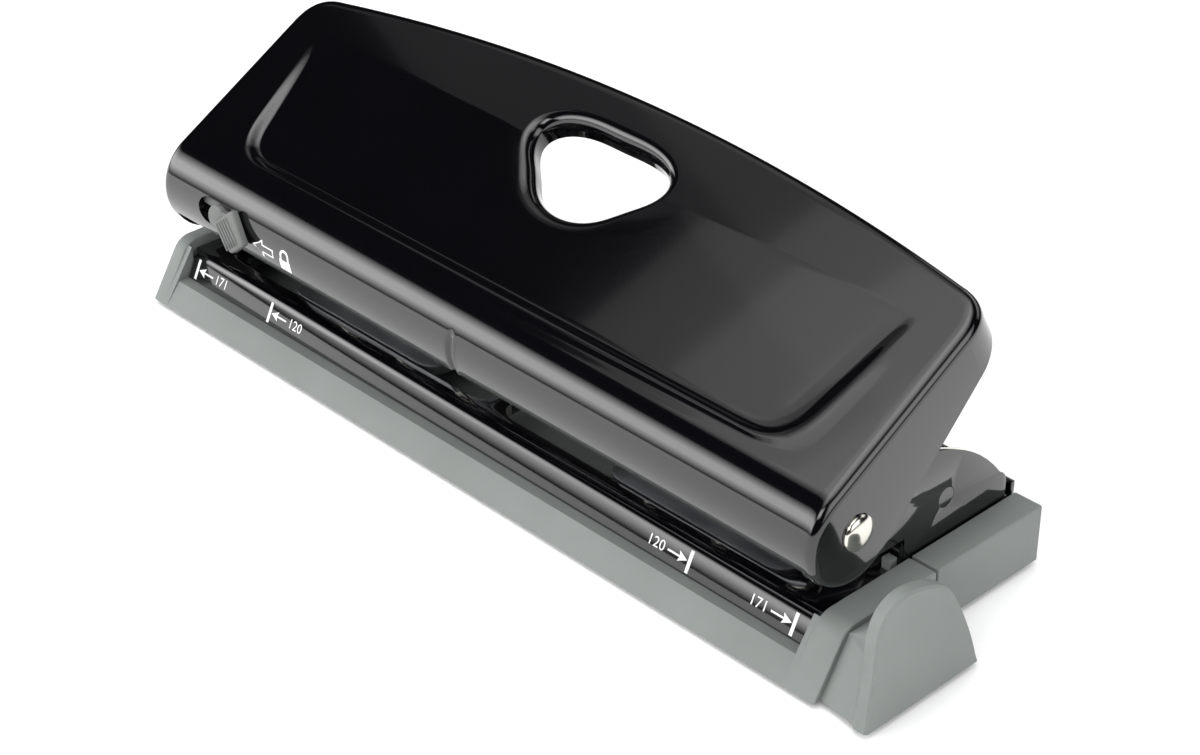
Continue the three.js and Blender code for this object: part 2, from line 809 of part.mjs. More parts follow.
// Punch units: the cap's dome follows the press bar, and its travel is the handle's turn at mid stroke
const punchReach = punchSetback - pivotSetback;
const capLevel = (angle) =>
  punchReach * Math.tan(angle) + (barLevel - capRadius) / Math.cos(angle);
const middleAngle = restAngle / 2;
const travelPerRadian =
  (punchReach + (barLevel - capRadius) * Math.sin(middleAngle)) / Math.cos(middleAngle) ** 2;
const capCentre =
  pivotHeight + capLevel(middleAngle) + travelPerRadian * (restAngle - middleAngle) - restGap;
const stroke = travelPerRadian * restAngle;
console.log("punch travel per radian", travelPerRadian.toFixed(4), "stroke", stroke.toFixed(3));

const capWall = 2.2;
const capFoot = capCentre - capWall / 2;
const unitPost = paperStop + postRadius + seatGap;
const stripperBottom = floorHeight + paperGap;
const dieTop = floorHeight - restGap;
const dieBottom = dieTop - dieThickness;

function punchFrame(middle) {
  const half = holePitch + unitMargin;
  const section = strip(
    [
      point(unitFront, unitTop),
      point(unitRear, unitTop),
      point(unitRear, stripperBottom),
      point(unitFront, stripperBottom),
    ],
    unitSheet,
    bendRadius,
  );
  let body = alongX(section, middle - half, middle + half);
  for (const step of [-1, 0, 1]) {
    const bore = circle(middle + step * holePitch, punchSetback, punchRadius + runningGap);
    body = cut(body, alongZ(bore, 0, unitTop + overrun));
  }
  for (const step of [-1, 1]) {
    const bore = circle(middle + (step * holePitch) / 2, unitPost, postRadius + runningGap);
    body = cut(body, alongZ(bore, 0, stripperBottom + 2 * unitSheet, 0, 8));
  }
  return body;
}

function diePlate(middle) {
  const half = holePitch + unitMargin - seatGap;
  const outline = rectangle(
    middle - half,
    slotFront + 2 * seatGap,
    middle + half,
    slotRear - 2 * seatGap,
    slotRound,
  );
  let body = alongZ(outline, dieBottom, dieTop);
  for (const step of [-1, 0, 1]) {
    const bore = circle(middle + step * holePitch, punchSetback, punchRadius + runningGap);
    body = cut(body, alongZ(bore, 0, floorHeight));
  }
  for (const step of [-1, 1]) {
    const bore = circle(middle + (step * holePitch) / 2, unitPost, postRadius + runningGap);
    body = cut(body, alongZ(bore, 0, floorHeight, 0, 8));
  }
  return body;
}

function post(x) {
  const head = postRadius + unitSheet / 2;
  const shoulder = postRadius + unitSheet / 3;
  return moved(
    turned(
      [
        point(0, dieBottom + restGap),
        point(postRadius, dieBottom + restGap),
        point(postRadius, dieTop + restGap),
        point(shoulder, dieTop + restGap),
        point(shoulder, stripperBottom - restGap),
        point(postRadius, stripperBottom - restGap),
        point(postRadius, stripperBottom + unitSheet + restGap),
        point(head, stripperBottom + unitSheet + restGap),
        point(head, stripperBottom + 2 * unitSheet),
        point(0, stripperBottom + 2 * unitSheet),
      ],
      16,
    ),
    x,
    unitPost,
    0,
  );
}

// A block behind each unit runs on the guide rod, and has a finger tab to set the unit by.
function slideBlock(middle) {
  const half = blockLength / 2;
  const front = unitRear + restGap;
  const reach = rodSetback + rodRadius + plasticWall;
  const low = rodHeight - rodRadius - plasticWall;
  const high = rodHeight + rodRadius + plasticWall;
  const section = rounded(
    [
      point(front, low),
      point(reach, low),
      point(reach, high),
      point(reach - plasticWall, high + tabHeight / 2),
      point(reach - 2 * plasticWall, high + tabHeight / 2),
      point(front + plasticWall, high),
      point(front, high),
    ],
    [0, plasticEdge, 0, plasticEdge / 2, plasticEdge / 2, 0, 0],
  );
  const body = alongX(section, middle - half, middle + half);
  const long = blockLength;
  const bore = rodAlongX(rodRadius + runningGap, middle - long, middle + long, rodSetback, rodHeight);
  return cut(body, bore);
}

function punchPin(x) {
  const notch = new THREE.ConeGeometry(punchRadius / 2, punchRadius / 2, 12).rotateX(Math.PI / 2);
  const shank = moved(
    turned([
      point(0, punchTip),
      point(punchRadius, punchTip),
      point(punchRadius, capFoot - runningGap),
      point(punchRadius * (3 / 4), capFoot - runningGap),
      point(punchRadius * (3 / 4), capFoot + capWall),
      point(0, capFoot + capWall),
    ]),
    x,
    punchSetback,
    0,
  );
  return cut(shank, moved(solid(notch), x, punchSetback, punchTip));
}

function pinCap(x) {
  const inner = punchRadius * (3 / 4) + runningGap;
  const profile = [
    point(0, capFoot + capWall + restGap),
    point(inner, capFoot + capWall + restGap),
    point(inner, capFoot),
    point(capRadius, capFoot),
    point(capRadius, capCentre),
  ];
  const steps = 4;
  for (let i = 1; i <= steps; i++) {
    const angle = (i / steps) * (Math.PI / 2);
    const radius = i === steps ? 0 : capRadius * Math.cos(angle);
    profile.push(point(radius, capCentre + capRadius * Math.sin(angle)));
  }
  return moved(turned(profile), x, punchSetback, 0);
}

let springGap = Infinity;

// A return spring: one wire wound round the pin, its two ends running straight up and down.
function spring(x) {
  const radius = punchRadius + wire / 2 + seatGap;
  const bottom = unitTop + restGap;
  const top = capFoot - restGap;
  const steps = 8 * springCurls;
  const start = bottom + wire * (3 / 2);
  const end = top - wire * (3 / 2);
  const path = [new THREE.Vector3(radius, 0, bottom)];
  for (let i = 0; i <= steps; i++) {
    const angle = (i / 8) * 2 * Math.PI;
    const z = THREE.MathUtils.lerp(start, end, i / steps);
    path.push(new THREE.Vector3(radius * Math.cos(angle), radius * Math.sin(angle), z));
  }
  path.push(new THREE.Vector3(radius, 0, top));
  springGap = Math.min(springGap, (end - start) / springCurls - wire);
  const rings = path.map((spot, i) => {
    const ends = i === 0 || i === path.length - 1;
    const out = new THREE.Vector3(spot.x, spot.y, 0).normalize();
    const angle = Math.atan2(spot.y, spot.x);
    const round = new THREE.Vector3(-Math.sin(angle), Math.cos(angle), 0);
    const along = ends ? new THREE.Vector3(0, 0, 1) : round.clone().setZ(1 / 5).normalize();
    if (i === 1 || i === path.length - 2) along.copy(round).setZ(1).normalize();
    const across = along.clone().cross(out).normalize();
    const sides = 5;
    return Array.from({ length: sides }, (unused, k) => {
      const turn = (k / sides) * 2 * Math.PI;
      return spot
        .clone()
        .addScaledVector(out, (wire / 2) * Math.cos(turn))
        .addScaledVector(across, (wire / 2) * Math.sin(turn));
    });
  });
  return moved(loft(rings), x, punchSetback, 0);
}

const units = [
  { name: "left", side: -1, middle: -leftUnitInner - holePitch, first: 1 },
  { name: "right", side: 1, middle: rightUnitInner + holePitch, first: 4 },
];

for (const unit of units) {
  add(assembly, "punch_frame_" + unit.name, punchFrame(unit.middle), zincSteel);
  add(assembly, "die_plate_" + unit.name, diePlate(unit.middle), steelBlack);
  add(assembly, "slide_block_" + unit.name, slideBlock(unit.middle), darkPlastic);
  for (const step of [-1, 1]) {
    const name = "post_" + unit.name + (step < 0 ? "_1" : "_2");
    add(assembly, name, post(unit.middle + (step * holePitch) / 2), zincSteel);
  }
  for (const step of [-1, 0, 1]) {
    const x = unit.middle + step * holePitch;
    const number = unit.first + 1 + step;
    add(assembly, "punch_pin_" + number, punchPin(x), zincSteel);
    add(assembly, "pin_cap_" + number, pinCap(x), darkPlastic);
    add(assembly, "return_spring_" + number, spring(x), springSteel);
  }
}
console.log("least gap of a spring to itself", springGap.toFixed(2));

export default scene;
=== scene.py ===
"""Six-hole desk punch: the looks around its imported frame, laid out as an add-on and run as a script."""

import itertools
import json
import math

import bmesh
import bpy
from mathutils import Matrix, Vector


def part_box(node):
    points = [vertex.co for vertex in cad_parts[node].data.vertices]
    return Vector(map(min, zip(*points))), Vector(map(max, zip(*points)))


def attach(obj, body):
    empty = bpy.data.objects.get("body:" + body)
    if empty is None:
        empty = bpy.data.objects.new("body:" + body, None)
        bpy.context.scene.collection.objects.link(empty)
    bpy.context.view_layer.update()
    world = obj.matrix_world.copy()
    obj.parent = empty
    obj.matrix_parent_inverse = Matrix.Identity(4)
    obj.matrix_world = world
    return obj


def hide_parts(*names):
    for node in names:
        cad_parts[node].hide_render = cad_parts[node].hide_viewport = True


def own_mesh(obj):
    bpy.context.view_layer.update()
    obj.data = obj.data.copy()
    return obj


bl_info = {
    "name": "Six-hole desk punch",
    "version": (1, 0, 0),
    "blender": (4, 5, 0),
    "location": "3D View > Sidebar > Punch",
    "description": "Builds the pieces of a desk punch around its packed frame",
    "category": "Object",
}

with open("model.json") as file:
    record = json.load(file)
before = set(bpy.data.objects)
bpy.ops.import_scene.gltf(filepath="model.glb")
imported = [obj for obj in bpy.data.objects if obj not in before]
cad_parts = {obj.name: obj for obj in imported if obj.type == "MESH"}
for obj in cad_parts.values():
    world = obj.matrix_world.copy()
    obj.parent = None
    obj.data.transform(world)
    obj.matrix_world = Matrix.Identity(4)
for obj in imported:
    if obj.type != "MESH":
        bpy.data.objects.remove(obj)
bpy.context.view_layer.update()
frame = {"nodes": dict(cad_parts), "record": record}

MM = 0.001

# Places in the part's frame, in millimetres
PIVOT = Vector((-7.1, -15.7, 27.0))
REST_ANGLE = math.radians(30)
TRAY_MIDDLE = -7.1
RAMP_FOOT = (-24.15, 5.82)
RAMP_TOP = (-21.5, 11.2)


# Settings that a user would change
class PunchHandleSettings(bpy.types.PropertyGroup):
    nose_radius: bpy.props.FloatProperty(
        name="Nose radius", description="Outer radius of the rolled nose",
        default=11.0 * MM, unit="LENGTH",
    )
    half_width: bpy.props.FloatProperty(
        name="Half width", description="From the middle to the outside of a flange",
        default=91.28 * MM, unit="LENGTH",
    )
    length: bpy.props.FloatProperty(
        name="Length", description="From the pivot to the middle of the rear edge",
        default=52.0 * MM, unit="LENGTH",
    )
    arch: bpy.props.FloatProperty(
        name="Arch", description="How far the rear edge bows out", default=8.5 * MM, unit="LENGTH"
    )
    sheet: bpy.props.FloatProperty(
        name="Sheet", description="Thickness of the pressed sheet", default=1.2 * MM, unit="LENGTH"
    )
    fold: bpy.props.FloatProperty(
        name="Fold radius", description="Outer radius of the folded edges", default=2.0 * MM, unit="LENGTH"
    )
    panel_depth: bpy.props.FloatProperty(
        name="Panel depth", description="How deep the panel is sunk at its front",
        default=1.6 * MM, unit="LENGTH",
    )
    hole_roll: bpy.props.FloatProperty(
        name="Hole roll", description="Radius of the rolled rim of the finger hole",
        default=2.8 * MM, unit="LENGTH",
    )


class PunchPaintSettings(bpy.types.PropertyGroup):
    enamel: bpy.props.FloatVectorProperty(
        name="Enamel", description="Colour of the baked enamel", default=(0.0012, 0.0011, 0.0018),
        size=3, subtype="COLOR",
    )
    plastic: bpy.props.FloatVectorProperty(
        name="Plastic", description="Colour of the base's plastic", default=(0.17, 0.186, 0.178),
        size=3, subtype="COLOR",
    )
    lock_plastic: bpy.props.FloatVectorProperty(
        name="Lock plastic", description="Colour of the lock button", default=(0.14, 0.144, 0.14),
        size=3, subtype="COLOR",
    )
    print_white: bpy.props.FloatVectorProperty(
        name="Print", description="Colour of the printed marks", default=(0.82, 0.82, 0.82),
        size=3, subtype="COLOR",
    )
    grain: bpy.props.FloatProperty(
        name="Grain", description="Height of the plastic's moulded grain", default=0.03 * MM, unit="LENGTH"
    )


class PunchSpringSettings(bpy.types.PropertyGroup):
    wire: bpy.props.FloatProperty(
        name="Wire", description="Thickness of the spring wire", default=0.6 * MM, unit="LENGTH"
    )
    curls: bpy.props.IntProperty(name="Curls", description="Turns of each return spring", default=6, min=2)


def settings():
    """The groups of settings for the handle, the paint and the springs."""
    scene = bpy.context.scene
    return scene.punch_handle, scene.punch_paint, scene.punch_springs


def new_node(tree, kind, set_first, values):
    """A node with its settings, which are set first, and the values or links of its sockets."""
    node = tree.nodes.new(kind)
    for key, value in set_first.items():
        setattr(node, key, value)
    for key, value in values.items():
        if isinstance(value, bpy.types.NodeSocket):
            tree.links.new(value, node.inputs[key])
        else:
            node.inputs[key].default_value = value
    return node


# Shader maths
class Sock:
    """A socket that Python's operators work on; each step of a sum adds its Math node."""

    def __init__(self, nodes, socket):
        self.nodes, self.socket = nodes, socket

    def math(self, operation, other):
        made = self.nodes.make("ShaderNodeMath", {"operation": operation}, {0: self, 1: other})
        return made[0]

    def __add__(self, other):
        return self.math("ADD", other)

    def __radd__(self, other):
        return self.math("ADD", other)

    def __sub__(self, other):
        return self.math("SUBTRACT", other)

    def __rsub__(self, other):
        return (self * -1) + other

    def __mul__(self, other):
        return self.math("MULTIPLY", other)

    def __rmul__(self, other):
        return self.math("MULTIPLY", other)


class Finish:
    """The material of one finish and its node tree."""

    def __init__(self, name, **constants):
        self.material = bpy.data.materials.new(name)
        self.material.use_nodes = True
        self.tree = self.material.node_tree
        self.shader = self.tree.nodes["Principled BSDF"]
        for key, value in constants.items():
            self.shader.inputs[key.replace("_", " ")].default_value = value
        self.place = self.make("ShaderNodeTexCoord", {}, {}, output="Object")

    def make(self, kind, set_first, values, output=None):
        values = {key: value.socket if isinstance(value, Sock) else value for key, value in values.items()}
        node = new_node(self.tree, kind, set_first, values)
        if output is not None:
            return Sock(self, node.outputs[output])
        return [Sock(self, o) for o in node.outputs]

    def noise(self, scale, detail=3.0, roughness=0.5, where=None):
        values = {"Vector": where or self.place, "Scale": scale, "Detail": detail, "Roughness": roughness}
        return self.make("ShaderNodeTexNoise", {}, values, output="Fac")

    def spread(self, value, low, high, to_low=0.0, to_high=1.0):
        values = {"Value": value, "From Min": low, "From Max": high, "To Min": to_low, "To Max": to_high}
        return self.make("ShaderNodeMapRange", {"clamp": True}, values, output="Result")

    def mix(self, share, a, b):
        """A colour between two, by the Mix node's socket numbers, as its sockets' names repeat."""
        outputs = self.make("ShaderNodeMix", {"data_type": "RGBA"}, {0: share, 6: a, 7: b})
        return outputs[2]

    def bump(self, height, distance, strength=1.0):
        values = {"Height": height, "Distance": distance, "Strength": strength}
        normal = self.make("ShaderNodeBump", {}, values, output="Normal")
        self.feed("Normal", normal)

    def feed(self, name, socket):
        self.tree.links.new(socket.socket, self.shader.inputs[name])


# Colours that the user doesn't change, and the stretch that draws out the zinc's rolling lines
BLOCK_COLOUR = (0.02, 0.021, 0.022)
# The darker rubber colour is painted shade, laid into the hollows of the feet's grain
RUBBER_DARK, RUBBER_LIGHT = (0.012, 0.012, 0.012), (0.03, 0.03, 0.031)
NICKEL_COLOUR = (0.78, 0.76, 0.7)
ZINC_COLOUR = (0.42, 0.43, 0.45)
WIRE_COLOUR = (0.46, 0.47, 0.48)
EVEN, ROLLED = (1, 1, 1), (0.15, 1, 1)
# How much of the plastic's grain shows in its tone
GRAIN_IN_TONE = 0.3


def rgba(colour, share=1.0):
    return (colour[0] * share, colour[1] * share, colour[2] * share, 1.0)


def enamel():
    paint = settings()[1]
    made = Finish("black_enamel", IOR=1.5, Coat_Roughness=0.045, Coat_IOR=1.6, Coat_Weight=0.6)
    cloud = made.noise(scale=60)
    made.feed("Base Color", made.mix(cloud, rgba(paint.enamel, 0.75), rgba(paint.enamel, 1.3)))
    dust = made.noise(scale=2600, detail=2, roughness=0.6)
    made.feed("Roughness", made.spread(dust, low=0.3, high=0.8, to_low=0.07, to_high=0.13))
    peel = made.noise(scale=520, detail=2, roughness=0.4)
    made.bump(peel, distance=0.004 * MM, strength=0.12)
    return made.material


def moulded(name, colour, fine=3400):
    paint = settings()[1]
    made = Finish(name, IOR=1.46)
    grain = made.noise(scale=fine, roughness=0.6)
    cloud = made.noise(scale=45)
    tone = made.spread((1 - GRAIN_IN_TONE) * cloud + GRAIN_IN_TONE * grain, low=0.3, high=0.7)
    made.feed("Base Color", made.mix(tone, rgba(colour, 0.9), rgba(colour, 1.1)))
    made.feed("Roughness", made.spread(grain, low=0.3, high=0.75, to_low=0.42, to_high=0.6))
    made.bump(grain, distance=paint.grain, strength=0.6)
    return made.material


def bright_metal(name, colour, rough, stretch=EVEN):
    made = Finish(name, Metallic=1.0)
    values = {"Vector": made.place, "Scale": stretch}
    stretched = made.make("ShaderNodeMapping", {"vector_type": "POINT"}, values, output="Vector")
    lines = made.noise(scale=1500, detail=4, roughness=0.6, where=stretched)
    cloud = made.noise(scale=90)
    made.feed("Base Color", made.mix(cloud, rgba(colour, 0.92), rgba(colour, 1.05)))
    made.feed("Roughness", made.spread(lines, low=0.3, high=0.75, to_low=rough * 0.8, to_high=rough * 1.35))
    made.bump(lines, distance=0.0006 * MM, strength=0.2)
    return made.material


def rubber():
    made = Finish("foot_rubber", IOR=1.5)
    grain = made.noise(scale=2500)
    hollow_shade = 1 - grain
    # Painted shade: the low points of the grain's bump are coloured darker
    made.feed("Base Color", made.mix(hollow_shade, rgba(RUBBER_LIGHT), rgba(RUBBER_DARK)))
    made.feed("Roughness", made.spread(grain, low=0.3, high=0.7, to_low=0.7, to_high=0.9))
    made.bump(grain, distance=0.03 * MM)
    return made.material


def print_ink():
    paint = settings()[1]
    made = Finish("printed_white", IOR=1.45)
    speck = made.noise(scale=5000, detail=2)
    made.feed("Base Color", made.mix(speck, rgba(paint.print_white, 0.92), rgba(paint.print_white)))
    made.feed("Roughness", made.spread(speck, low=0.3, high=0.7, to_low=0.35, to_high=0.5))
    return made.material


FINISHES = {}


def finish_of(name):
    """A finish by its short name, made when it is first asked for."""
    if name not in FINISHES:
        paint = settings()[1]
        makers = {
            "enamel": enamel,
            "plastic": lambda: moulded("base_plastic", paint.plastic),
            "lock_plastic": lambda: moulded("lock_plastic", paint.lock_plastic, fine=4200),
            "dark_plastic": lambda: moulded("block_plastic", BLOCK_COLOUR),
            "nickel": lambda: bright_metal("nickel_plate", NICKEL_COLOUR, rough=0.16),
            "zinc": lambda: bright_metal("zinc_plate", ZINC_COLOUR, rough=0.36, stretch=ROLLED),
            "spring": lambda: bright_metal("spring_wire", WIRE_COLOUR, rough=0.25),
            "rubber": rubber,
            "ink": print_ink,
        }
        FINISHES[name] = makers[name]()
    return FINISHES[name]


# Meshes
# Angles in degrees: edges sharper than these stay sharp in the shading, and corners are rounded
HANDLE_SHARP, SOLID_SHARP, LOCK_SHARP, TURNED_SHARP, RIVET_SHARP = 40, 50, 60, 35, 30
SOLID_CORNER, LOCK_CORNER = 28, 25


def new_object(name, verts, faces, material, body, sharp=TURNED_SHARP, recalc=False):
    """Makes a mesh object from points in metres, paints it and lets it ride on a body."""
    mesh = bpy.data.meshes.new(name)
    mesh.from_pydata([tuple(v) for v in verts], [], faces)
    made = bpy.data.objects.new(name, mesh)
    bpy.context.scene.collection.objects.link(made)
    if recalc:
        tidy_faces(mesh)
    shade(mesh, sharp)
    mesh.materials.append(material)
    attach(made, body)
    return made


def tidy_faces(mesh, merge=0.002 * MM):
    work = bmesh.new()
    work.from_mesh(mesh)
    bmesh.ops.remove_doubles(work, verts=work.verts, dist=merge)
    bmesh.ops.recalc_face_normals(work, faces=work.faces)
    work.to_mesh(mesh)
    work.free()


def shade(mesh, angle):
    """Smooth faces, with the edges sharper than the angle kept sharp."""
    mesh.shade_smooth()
    work = bmesh.new()
    work.from_mesh(mesh)
    limit = math.radians(angle)
    for edge in work.edges:
        edge.smooth = not (len(edge.link_faces) == 2 and edge.calc_face_angle(0) > limit)
    work.to_mesh(mesh)
    work.free()


def apply_modifiers(made):
    """Turns an object with modifiers into a plain mesh."""
    depsgraph = bpy.context.evaluated_depsgraph_get()
    depsgraph.update()
    plain = bpy.data.meshes.new_from_object(made.evaluated_get(depsgraph))
    made.modifiers.clear()
    made.data = plain
    return made


def grid_faces(rows, columns, closed=False):
    """Quads of a grid of points, row by row; closed joins the last column to the first."""
    faces = []
    for i in range(rows - 1):
        for j in range(columns if closed else columns - 1):
            k = (j + 1) % columns
            faces.append((i * columns + j, i * columns + k, (i + 1) * columns + k, (i + 1) * columns + j))
    return faces


def quadratic(a, b, c, steps):
    """Points of a quadratic curve after its start."""
    return [
        (
            (1 - t) ** 2 * a[0] + 2 * t * (1 - t) * b[0] + t * t * c[0],
            (1 - t) ** 2 * a[1] + 2 * t * (1 - t) * b[1] + t * t * c[1],
        )
        for t in [(i + 1) / steps for i in range(steps)]
    ]


def straight(a, b, steps):
    """Points from one place to another, without the first."""
    (x0, y0), (x1, y1) = a, b
    return [(x0 + (x1 - x0) * i / steps, y0 + (y1 - y0) * i / steps) for i in range(1, steps + 1)]


def smooth_step(low, high, value):
    t = min(1.0, max(0.0, (value - low) / ((high - low) or 1e-9)))
    return t * t * (3 - 2 * t)


def handle_place(point):
    """A point of the handle's own frame, in millimetres, brought to the part's frame in metres."""
    turned = Matrix.Rotation(REST_ANGLE, 3, "X") @ Vector(point)
    return (turned + PIVOT) * MM


# Handle
class HandleShape:
    """Sizes of the pressed handle in millimetres, and the lines that its surfaces share."""

    panel_front, panel_rear = 3.8, 33.0
    panel_half_front, panel_half_rear = 75.0, 80.5
    panel_corner, panel_rear_corner = 8.0, 9.0
    # How far the panel's line runs on behind its rear places, and how far it bows there
    panel_run, panel_bow = 7.5, 4.5
    # The panel's sloped edge, to both sides of its line, and the soft bead that stands along it
    slope_inside, slope_outside = 1.5, 0.9
    # Near the hole the sloped edge starts at least a gap past the rim, and keeps a least width
    slope_gap, slope_least = 0.1, 0.6
    # Steps along half of the panel's outline: front, front corner, side, rear corner and rear
    panel_steps = (60, 24, 30, 16, 80)
    bead_height, bead_offset, bead_width = 0.16, 0.5, 1.1
    bead_ends, bead_full = 30, 12
    # The panel's depth runs out this far behind its rear places
    panel_fade = 2
    hole_offset, hole_middle = 1.4, 33.7
    hole_half_width, hole_half_depth = 16.2, 9.35
    hole_lobe_share = 0.12
    hole_collar = 2.4
    rear_corner = 8.0
    # The rear corner's own rise is this part of the arch
    corner_part = 9
    rim_depth = 8.0
    lip_level = 0.6
    throat_half = 88.0
    # The flange's lower edge at the rear corner, and where it rises to the rear rim about that corner
    flange_level, rise_before, rise_after = -0.2, 2.0, 9.0
    # The straight run of a flange's disc behind the pivot
    disc_tail = 3.2
    # Steps along the rear line: side, corner and half the arch
    side_steps, corner_steps, arch_steps = 24, 14, 70
    # Rows over the top plate: collar, rolled rim, panel floor, sloped edge and land
    collar_rows, rim_rows, floor_rows, slope_rows, land_rows = 4, 12, 16, 12, 8
    # Steps round the nose, round a whole end, round a fold, along a disc's tail and down the wall
    nose_steps, end_steps, fold_steps, tail_steps, wall_steps = 34, 60, 8, 4, 6

    def __init__(self, chosen):
        self.radius = chosen.nose_radius / MM
        self.half = chosen.half_width / MM
        self.length = chosen.length / MM
        self.arch = chosen.arch / MM
        self.fold = chosen.fold / MM
        self.depth = chosen.panel_depth / MM
        self.roll = chosen.hole_roll / MM
        self.lip = math.pi - math.asin(self.lip_level / self.radius)

    def rear_line(self, inset):
        """The plan's side and rear line, from the right end of the nose round to the left end."""
        half, rear = self.half - inset, self.length - inset
        corner = self.rear_corner
        shoulder = rear - self.arch
        side_end = (half, shoulder - corner)
        arch_start = (half - corner, shoulder + self.arch / self.corner_part)
        right = [(half, 0.0)] + straight((half, 0.0), side_end, self.side_steps)
        right += quadratic(side_end, (half, shoulder), arch_start, self.corner_steps)
        right += quadratic(arch_start, (half / 2 - corner / 2, rear), (0.0, rear), self.arch_steps)
        left = [(-x, y) for x, y in reversed(right[:-1])]
        return right + left

    def hole_point(self, angle, grow):
        """A point of the rounded, three-cornered hole, grown by a distance."""
        lobe = 1 + self.hole_lobe_share * math.sin(3 * angle)
        x = (self.hole_half_width * lobe + grow) * math.cos(angle)
        y = (self.hole_half_depth * lobe + grow) * math.sin(angle)
        return x, y

    def hole_line(self, grow, count=1440):
        return [self.hole_point(i / count * 2 * math.pi, grow) for i in range(count)]

    def panel_line(self, grow):
        """Outline of the sunk panel, about the middle of the hole."""
        front = self.panel_front - grow
        rear = self.panel_rear + self.panel_run
        slope = (self.panel_half_rear - self.panel_half_front) / (self.panel_rear - self.panel_front)
        half_front = self.panel_half_front + grow
        half_rear = self.panel_half_front + grow + slope * (rear - front)
        corner, rear_corner = self.panel_corner + grow, self.panel_rear_corner
        front_end = (half_front - corner, front)
        side_start = (half_front + slope * corner, front + corner)
        side_end = (half_rear - slope * rear_corner, rear - rear_corner)
        rear_start = (half_rear - rear_corner, rear)
        along_front, round_front, along_side, round_rear, along_rear = self.panel_steps
        points = straight((0, front), front_end, along_front)
        points += quadratic(front_end, (half_front, front), side_start, round_front)
        points += straight(points[-1], side_end, along_side)
        points += quadratic(side_end, (half_rear, rear), rear_start, round_rear)
        points += straight(rear_start, (0, rear + self.panel_bow), along_rear)
        points += [(-x, y) for x, y in reversed(points[:-1])]
        return [(x - self.hole_offset, y - self.hole_middle) for x, y in points]

    def panel_level(self, y, inside):
        """Height of the top plate, where inside runs from 0 outside the panel to 1 on its floor."""
        end = self.panel_rear + self.panel_fade
        sink = self.depth * min(1.0, max(0.0, (end - y) / (end - self.panel_front)))
        return self.radius - sink * inside

    def end_turns(self):
        """Angles round the nose's end: the nose's own steps as far as the lip, then on to the foot."""
        start, lip, foot = math.pi / 2, self.lip, 1.5 * math.pi
        past_lip = self.end_steps - self.nose_steps
        turns = [start + (lip - start) * k / self.nose_steps for k in range(self.nose_steps + 1)]
        return turns + [lip + (foot - lip) * k / past_lip for k in range(1, past_lip + 1)]


def by_angle(line):
    """Makes a star-shaped line answer with its distance at an angle."""
    table = sorted((math.atan2(y, x), math.hypot(x, y)) for x, y in line)
    (first_angle, first_reach), (last_angle, last_reach) = table[0], table[-1]
    table.insert(0, (last_angle - 2 * math.pi, last_reach))
    table.append((first_angle + 2 * math.pi, first_reach))

    def distance(angle):
        low, high = 0, len(table) - 1
        while high - low > 1:
            middle = (low + high) // 2
            if table[middle][0] <= angle:
                low = middle
            else:
                high = middle
        (a, ra), (b, rb) = table[low], table[high]
        return ra if b - a < 1e-12 else ra + (rb - ra) * (angle - a) / (b - a)

    return distance


# How the rows of the panel's floor crowd, and the most of the way to the border that the slope's rows take
FLOOR_POWER = 0.85
REACH_SHARE, REACH_GAIN_SHARE = 0.985, 0.01


def top_plate(shape, border):
    """Rings of points from the foot of the hole's rolled collar out to the border of the top plate."""
    hole_at = by_angle(shape.hole_line(0.0))
    rim_at = by_angle(shape.hole_line(shape.roll))
    angles = [math.atan2(y - shape.hole_middle, x - shape.hole_offset) for x, y in border]
    reach = [math.hypot(x - shape.hole_offset, y - shape.hole_middle) for x, y in border]
    floor_at = by_angle(shape.panel_line(-shape.slope_inside))
    brim_at = by_angle(shape.panel_line(shape.slope_outside))
    rings = []

    def inner(angle):
        return max(floor_at(angle), rim_at(angle) + shape.slope_gap)

    def outer(angle):
        return max(brim_at(angle), inner(angle) + shape.slope_least)

    def ring(distances, levels):
        points = []
        for a, d, z in zip(angles, distances, levels):
            points.append((shape.hole_offset + d * math.cos(a), shape.hole_middle + d * math.sin(a), z))
        rings.append(points)

    def sunk(distances):
        """Level of the plate at each point, worked out from the panel's two lines."""
        levels = []
        for a, d in zip(angles, distances):
            near, far = inner(a), outer(a)
            share = 1 - smooth_step(near, far, d)
            y = shape.hole_middle + d * math.sin(a)
            off_bead = (d - far - shape.bead_offset) / shape.bead_width
            fade = smooth_step(shape.bead_ends, shape.bead_full, y)
            rise = shape.bead_height * math.exp(-(off_bead**2)) * fade
            levels.append(shape.panel_level(y, share) + rise)
        return levels

    # The collar below the hole's rim, and the rolled rim
    floor = sunk([rim_at(a) for a in angles])
    for i in range(shape.collar_rows):
        drop = shape.hole_collar * (1 - i / shape.collar_rows)
        ring([hole_at(a) for a in angles], [z - shape.roll - drop for z in floor])
    for i in range(shape.rim_rows + 1):
        turn = i / shape.rim_rows * math.pi / 2
        share = 1 - math.cos(turn)
        distances = [hole_at(a) + (rim_at(a) - hole_at(a)) * share for a in angles]
        ring(distances, [z - shape.roll * (1 - math.sin(turn)) for z in floor])

    # The panel's floor, with rows a little wider apart near the hole, and the sloped edge
    for i in range(1, shape.floor_rows + 1):
        t = (i / shape.floor_rows) ** FLOOR_POWER
        distances = [rim_at(a) + (inner(a) - rim_at(a)) * t for a in angles]
        ring(distances, sunk(distances))
    for i in range(1, shape.slope_rows + 1):
        t = i / shape.slope_rows
        distances = [inner(a) + (outer(a) - inner(a)) * t for a in angles]
        most = REACH_SHARE + REACH_GAIN_SHARE * t
        distances = [min(d, r * most) for d, r in zip(distances, reach)]
        ring(distances, sunk(distances))

    # The land between the sloped edge and the border
    last = [math.hypot(x - shape.hole_offset, y - shape.hole_middle) for x, y, z in rings[-1]]
    for i in range(1, shape.land_rows):
        distances = [d + (r - d) * i / shape.land_rows for d, r in zip(last, reach)]
        ring(distances, sunk(distances))
    rings.append([(x, y, shape.radius) for x, y in border])
    return rings


